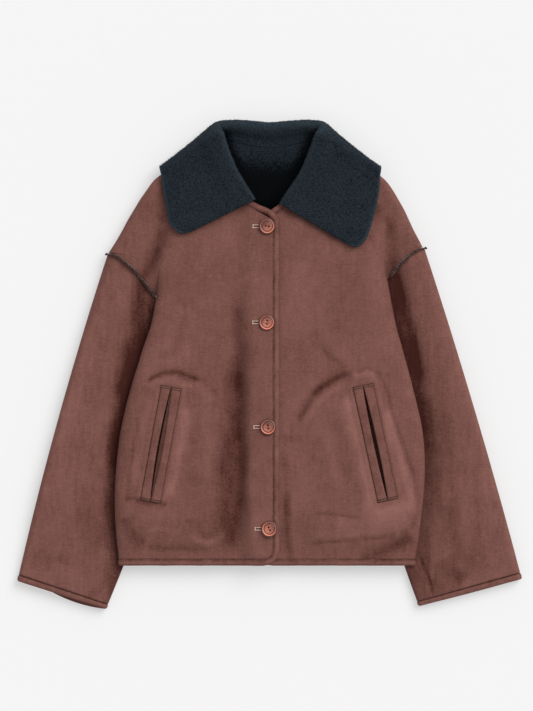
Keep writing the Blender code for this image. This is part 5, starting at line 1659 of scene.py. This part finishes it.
def flat_with_holes(points, rim, holes, up):
    """Faces that fill a round rim of points round two holes, turned up or down."""
    loops = [list(map(int, loop)) for loop in (rim, *holes)]
    flat = [[mathutils.Vector((points[k][0], points[k][1], 0.0)) for k in loop] for loop in loops]
    order = [k for loop in loops for k in loop]
    faces = []
    for tri in mathutils.geometry.tessellate_polygon(flat):
        a, b, c = (order[k] for k in tri)
        area = np.cross(points[b][:2] - points[a][:2], points[c][:2] - points[a][:2])
        faces.append((a, b, c) if (area > 0) == up else (a, c, b))
    return faces


def thread(path, radius, sides=6):
    """A thread along points, as (points, faces)."""
    path = np.asarray(path, float)
    ahead = unit(np.gradient(path, axis=0))
    side = unit(np.cross(ahead, repeated(UP, path)) + 1e-6)
    rise = np.cross(side, ahead)
    turn = full_turn(sides)
    size = np.full(len(path), radius)
    size[[0, -1]] *= 0.55
    rings = (path[:, None] + size[:, None, None] * (side[:, None] * np.cos(turn)[None, :, None]
                                                   + rise[:, None] * np.sin(turn)[None, :, None]))
    index = np.arange(len(path) * sides).reshape(len(path), sides)
    faces = tube_faces(index).tolist() + [index[0].tolist(), index[-1, ::-1].tolist()]
    return rings.reshape(-1, 3), faces


def button_thread(number, place):
    """The thread that goes down through a button's two holes."""
    base = button_base(number)
    _, first = button_lean(number)
    parts = []
    for across in (first, -first):
        for shift in (-0.36, 0.36):
            reach = np.array((-0.5, -0.1, 0.15, 0.1)) + HOLE_PLACE
            plan = np.array(place) + across * reach[:, None] + shift * np.array((across[1], -across[0]))
            parts.append(thread(np.column_stack([plan, base + np.array((1.9, 2.0, 1.3, 0.1))]), 0.34))
    return parts


def front_height(side, x, y):
    """The height of a front's finished outer face."""
    height, _ = front_relief(x, y)
    return float(one_sheet(side, SIDES[side]["sign"] * x, y) + height)


BUTTONHOLE = {"start": 10.0, "length": 10.5, "half": 2.55, "slit": 1.1}
STITCH_SHARE = 0.72    # of a stitch and its gap is thread


def buttonhole(place):
    """The end of a buttonhole that shows beside a button: two rows of close stitches and a bar."""
    x, y = place
    right = x - BUTTONHOLE["start"]
    left = right - BUTTONHOLE["length"]
    parts = []
    for way in (1, -1):
        for k in range(19):
            at = left + (right - left) * k / 18
            inner = y + way * BUTTONHOLE["slit"]
            outer = y + way * (BUTTONHOLE["half"] + 0.15 * math.sin(k * 2.3))
            z = front_height("right", at, y)
            path = [(at, inner, z - 0.15), (at + 0.1, (inner + outer) / 2, z + 0.75), (at, outer, z + 0.05)]
            parts.append(thread(path, 0.38, 5))
    for k in range(8):
        cross = y + (k - 3.5) * 0.72
        z = front_height("right", left, cross)
        path = [(left - 1.5, cross, z), (left - 0.6, cross, z + 0.75), (left + 0.3, cross, z - 0.1)]
        parts.append(thread(path, 0.40, 5))
    return parts


def buttonhole_slit(place):
    """The slit between a buttonhole's stitches, as a dark tube: painted shade where the cut opens."""
    x, y = place
    left = x - BUTTONHOLE["start"] - BUTTONHOLE["length"]
    at = np.linspace(left + 0.4, x - 6.0, 12)
    path = np.array([(u, y, front_height("right", u, y) - 0.65) for u in at])
    return [thread(path, BUTTONHOLE["slit"], 8)]


def stitches(points, normal, pitch):
    """Even stitches along a line of points, each a short arched thread."""
    along, length = distances(points), pitch * STITCH_SHARE
    parts = []
    for first in np.arange(1.0, along[-1] - length, pitch):
        at = first + np.linspace(0, length, 4)
        path, up = (np.column_stack([np.interp(at, along, column) for column in line.T])
                    for line in (points, normal))
        parts.append(thread(path + unit(up) * np.array((-0.15, 0.2, 0.2, -0.15))[:, None], 0.27, 5))
    return parts


def seam_stitching(pitch):
    """The stitches that hold the bindings, and those along the left sleeve's seam."""
    parts = []
    for side in SIDES:
        points, outward, normal = front_bound_line(side)
        parts += stitches(points + outward * 1.1 + normal * 0.25, normal, pitch)
        ring = sleeve_grid(side, np.full(2, CUFF_BINDING_SHARE * 0.9), swell=0.15, lap=False)[0]
        ring = ring[ring[:, 2] > 6]
        parts += stitches(ring, repeated(UP, ring), pitch)
    seam = denser(np.array(UNDERARM_SEAM, float), 40)
    for beside in (-1.3, 1.6):
        x, y = seam[:, 0] + beside, seam[:, 1] + 0.4 * beside
        height, _ = sleeve_relief("left", x, y)
        points = np.column_stack([x, y, sleeve_top("left", x, y) + height + 0.15])
        parts += stitches(points, repeated(UP, points), pitch)
    return parts


def pocket_bars(side):
    """The short rows of close stitches across both ends of a pocket's welts."""
    top, bottom, along, across = slit_frame(side)
    length = np.linalg.norm(bottom - top)
    parts = []
    for at in (-0.6, 2.4, length - 2.8, length + 0.4):
        reach = np.linspace(-WELT_WIDTH - 0.6, WELT_WIDTH + 0.6, 17)
        u, y = (top + along * at + across * reach[:, None]).T
        lift = 3.05 if 0 < at < length else 1.15
        z = body_top(side, u, y) + lift + 0.12 * np.cos(reach * 2.0)
        parts.append(thread(in_space(side, u, y, z), 0.42 if at < 50 else 0.6))
    return parts


def thread_piece(name, finish, parts):
    """Threads as one piece."""
    points, faces, before = [], [], 0
    for corners, quads in parts:
        points.append(corners)
        faces += [tuple(before + k for k in face) for face in quads]
        before += len(corners)
    piece(name, None, np.concatenate(points), faces, (finish,), np.zeros(before))


# ---- the sidebar ----

# The stage's fixed sizes are in metres, as the scene is.
FLOOR_HALF = 6.0
FLOOR_Z = -0.0006      # just below what lies on it
VIEW_Z = 0.020         # the height at which the view height is meant
SENSOR = 24.0          # in mm
CAMERA_PLACE = (-0.00485, 0.0135)
LAMP_PLACE = (1.3, 1.35, 1.9)


def hue(name, description, default):
    """A colour in the sidebar."""
    return FloatVectorProperty(name=name, description=description, subtype="COLOR", default=default,
                               size=3, min=0, max=1)


class JacketColours(bpy.types.PropertyGroup):
    """The jacket's colours."""

    suede: hue("Suede", "Colour of the suede", (0.178, 0.0745, 0.0608))
    binding: hue("Binding", "Colour of the bindings and welts", (0.172, 0.0722, 0.0590))
    fleece: hue("Fleece", "Colour of the curly pile", (0.0195, 0.0275, 0.0352))
    button: hue("Buttons", "Colour of the buttons", (0.530, 0.160, 0.100))
    thread: hue("Thread", "Colour of the seams' thread", (0.070, 0.028, 0.022))
    buttonhole: hue("Buttonholes", "Colour of the buttonholes' thread", (0.800, 0.560, 0.460))
    floor: hue("Floor", "Colour of the floor", (0.450, 0.450, 0.450))


class JacketPile(bpy.types.PropertyGroup):
    """The sizes of the pile and the stitching, in mm."""

    curl_size: FloatProperty(name="Fine curl", description="Size of the fine curls in the pile, in mm",
                             default=2.4, min=0.5, max=8)
    collar_curl: FloatProperty(name="Collar curl", description="Size of the collar's modelled curls, in mm",
                               default=3.4, min=2, max=12)
    collar_height: FloatProperty(name="Curl height", description="Height of the collar's curls, in mm",
                                 default=1.0, min=0, max=3)
    stitch_pitch: FloatProperty(name="Stitch", description="Length of one stitch with its gap, in mm",
                                default=4.2, min=1.5, max=10)


class JacketStudio(bpy.types.PropertyGroup):
    """The camera and the light."""

    camera_height: FloatProperty(name="Camera height", description="Height of the camera over the floor",
                                 default=9.0, min=1, subtype="DISTANCE", unit="LENGTH")
    view_height: FloatProperty(name="View height", description="What the view takes in, bottom to top",
                               default=1.0665, min=0.2, subtype="DISTANCE", unit="LENGTH")
    key_power: FloatProperty(name="Key light", description="Strength of the large soft light",
                             default=2.1, min=0)
    key_spread: FloatProperty(name="Softness", description="How wide the large soft light is",
                              default=math.radians(42), min=0, subtype="ANGLE", unit="ROTATION")
    floor_glow: FloatProperty(name="Floor glow", description="Light that the floor gives off",
                              default=0.448, min=0)
    fill: FloatProperty(name="Room light", description="Strength of the even light all round",
                        default=0.56, min=0)


class JACKET_OT_stage(bpy.types.Operator):
    """Make the floor, the camera and the studio light"""
    bl_idname = "jacket.stage"
    bl_label = "Stage, camera and light"

    def execute(self, context):
        scene, studio = context.scene, context.scene.jacket_studio
        mesh = bpy.data.meshes.new("floor")
        corners = [(x * FLOOR_HALF, y * FLOOR_HALF, FLOOR_Z)
                   for x, y in ((-1, -1), (1, -1), (1, 1), (-1, 1))]
        mesh.from_pydata(corners, [], [(0, 1, 2, 3)])
        mesh.materials.append(floor_finish("floor", tuple(scene.jacket_colours.floor), studio.floor_glow))
        floor = bpy.data.objects.new("floor", mesh)
        lens = bpy.data.cameras.new("camera")
        lens.sensor_fit = "VERTICAL"
        lens.sensor_height = SENSOR
        lens.lens = SENSOR * (studio.camera_height - VIEW_Z) / studio.view_height
        camera = bpy.data.objects.new("camera", lens)
        camera.location = (*CAMERA_PLACE, studio.camera_height)
        light = bpy.data.lights.new("key", "SUN")
        light.angle = studio.key_spread
        light.energy = studio.key_power
        lamp = bpy.data.objects.new("key", light)
        lamp.location = LAMP_PLACE
        lamp.rotation_euler = lamp.location.to_track_quat("Z", "Y").to_euler()
        for made in (floor, camera, lamp):
            scene.collection.objects.link(made)
        scene.camera = camera
        world = bpy.data.worlds.new("studio")
        world.use_nodes = True
        room = world.node_tree.nodes["Background"].inputs
        room["Color"].default_value = (1.0, 1.0, 1.0, 1.0)
        room["Strength"].default_value = studio.fill
        scene.world = world
        scene.view_settings.view_transform = "Standard"
        return {"FINISHED"}


class JACKET_OT_fronts(bpy.types.Operator):
    """Make both fronts"""
    bl_idname = "jacket.fronts"
    bl_label = "Fronts"

    def execute(self, context):
        for side in SIDES:
            front_cloth(side)
        return {"FINISHED"}


class JACKET_OT_back(bpy.types.Operator):
    """Make the back"""
    bl_idname = "jacket.back"
    bl_label = "Back"

    def execute(self, context):
        back_cloth()
        return {"FINISHED"}


class JACKET_OT_sleeves(bpy.types.Operator):
    """Make both sleeves"""
    bl_idname = "jacket.sleeves"
    bl_label = "Sleeves"

    def execute(self, context):
        for side in SIDES:
            sleeve_cloth(side)
        return {"FINISHED"}


class JACKET_OT_collar(bpy.types.Operator):
    """Make the fleece collar"""
    bl_idname = "jacket.collar"
    bl_label = "Collar"

    def execute(self, context):
        pile = context.scene.jacket_pile
        collar_cloth(pile.collar_curl, pile.collar_height)
        return {"FINISHED"}


class JACKET_OT_bindings(bpy.types.Operator):
    """Make the bindings of the front edges, the hem and the cuffs"""
    bl_idname = "jacket.bindings"
    bl_label = "Bindings"

    def execute(self, context):
        for side, seed in (("right", 41), ("left", 45)):
            bound_edge(f"front_{side}_binding", "front_binding_" + side, *front_bound_line(side), seed)
            cuff_edge(side)
        bound_edge("back_hem_binding", "back_binding", *back_bound_line(), 49, floor=0.0)
        return {"FINISHED"}


class JACKET_OT_ridges(bpy.types.Operator):
    """Make the raw seam edges that stand up along the armholes"""
    bl_idname = "jacket.ridges"
    bl_label = "Armhole seams"

    def execute(self, context):
        for side in SIDES:
            seam_ridge(side)
        return {"FINISHED"}


class JACKET_OT_pockets(bpy.types.Operator):
    """Make the pockets: their welts and inner cloth"""
    bl_idname = "jacket.pockets"
    bl_label = "Pockets"

    def execute(self, context):
        for side in SIDES:
            for which in ("outer", "inner"):
                welt_strip(side, which)
            pocket_cloth(side)
            thread_piece(f"pocket_{side}_bars", "thread", pocket_bars(side))
        return {"FINISHED"}


class JACKET_OT_buttons(bpy.types.Operator):
    """Make the buttons with their thread, and the buttonholes"""
    bl_idname = "jacket.buttons"
    bl_label = "Buttons and buttonholes"

    def execute(self, context):
        holes, slits, threads = [], [], []
        for number, place in enumerate(BUTTON_PLACES, 1):
            turned_button(number, place)
            threads += button_thread(number, place)
            holes += buttonhole(place)
            slits += buttonhole_slit(place)
        thread_piece("button_threads", "thread", threads)
        thread_piece("buttonholes", "pale_thread", holes)
        thread_piece("buttonhole_slits", "dark_slit", slits)
        return {"FINISHED"}


class JACKET_OT_stitching(bpy.types.Operator):
    """Sew the stitches along the seams of the bindings"""
    bl_idname = "jacket.stitching"
    bl_label = "Stitching"

    def execute(self, context):
        pitch = context.scene.jacket_pile.stitch_pitch
        thread_piece("seam_stitches", "thread", seam_stitching(pitch))
        return {"FINISHED"}


OPERATORS = (
    JACKET_OT_stage, JACKET_OT_fronts, JACKET_OT_back, JACKET_OT_sleeves, JACKET_OT_collar,
    JACKET_OT_bindings, JACKET_OT_ridges, JACKET_OT_pockets, JACKET_OT_buttons, JACKET_OT_stitching)
GROUPS = {"jacket_colours": JacketColours, "jacket_pile": JacketPile, "jacket_studio": JacketStudio}


class JACKET_PT_pieces(bpy.types.Panel):
    """The jacket's sizes, colours and pieces"""
    bl_idname = "JACKET_PT_pieces"
    bl_label = "Suede jacket"
    bl_space_type = "VIEW_3D"
    bl_region_type = "UI"
    bl_category = "Jacket"

    def draw(self, context):
        for name, group in GROUPS.items():
            box = self.layout.box()
            for prop in group.__annotations__:
                box.prop(getattr(context.scene, name), prop)
        for operator in OPERATORS:
            self.layout.operator(operator.bl_idname)


CLASSES = (*GROUPS.values(), *OPERATORS, JACKET_PT_pieces)


def register():
    for made in CLASSES:
        bpy.utils.register_class(made)
    for name, group in GROUPS.items():
        setattr(bpy.types.Scene, name, PointerProperty(type=group))


def unregister():
    for name in GROUPS:
        delattr(bpy.types.Scene, name)
    for made in reversed(CLASSES):
        bpy.utils.unregister_class(made)


def main():
    register()
    for operator in OPERATORS:
        group, name = operator.bl_idname.split(".")
        getattr(getattr(bpy.ops, group), name)()


if __name__ == "__main__":
    main()
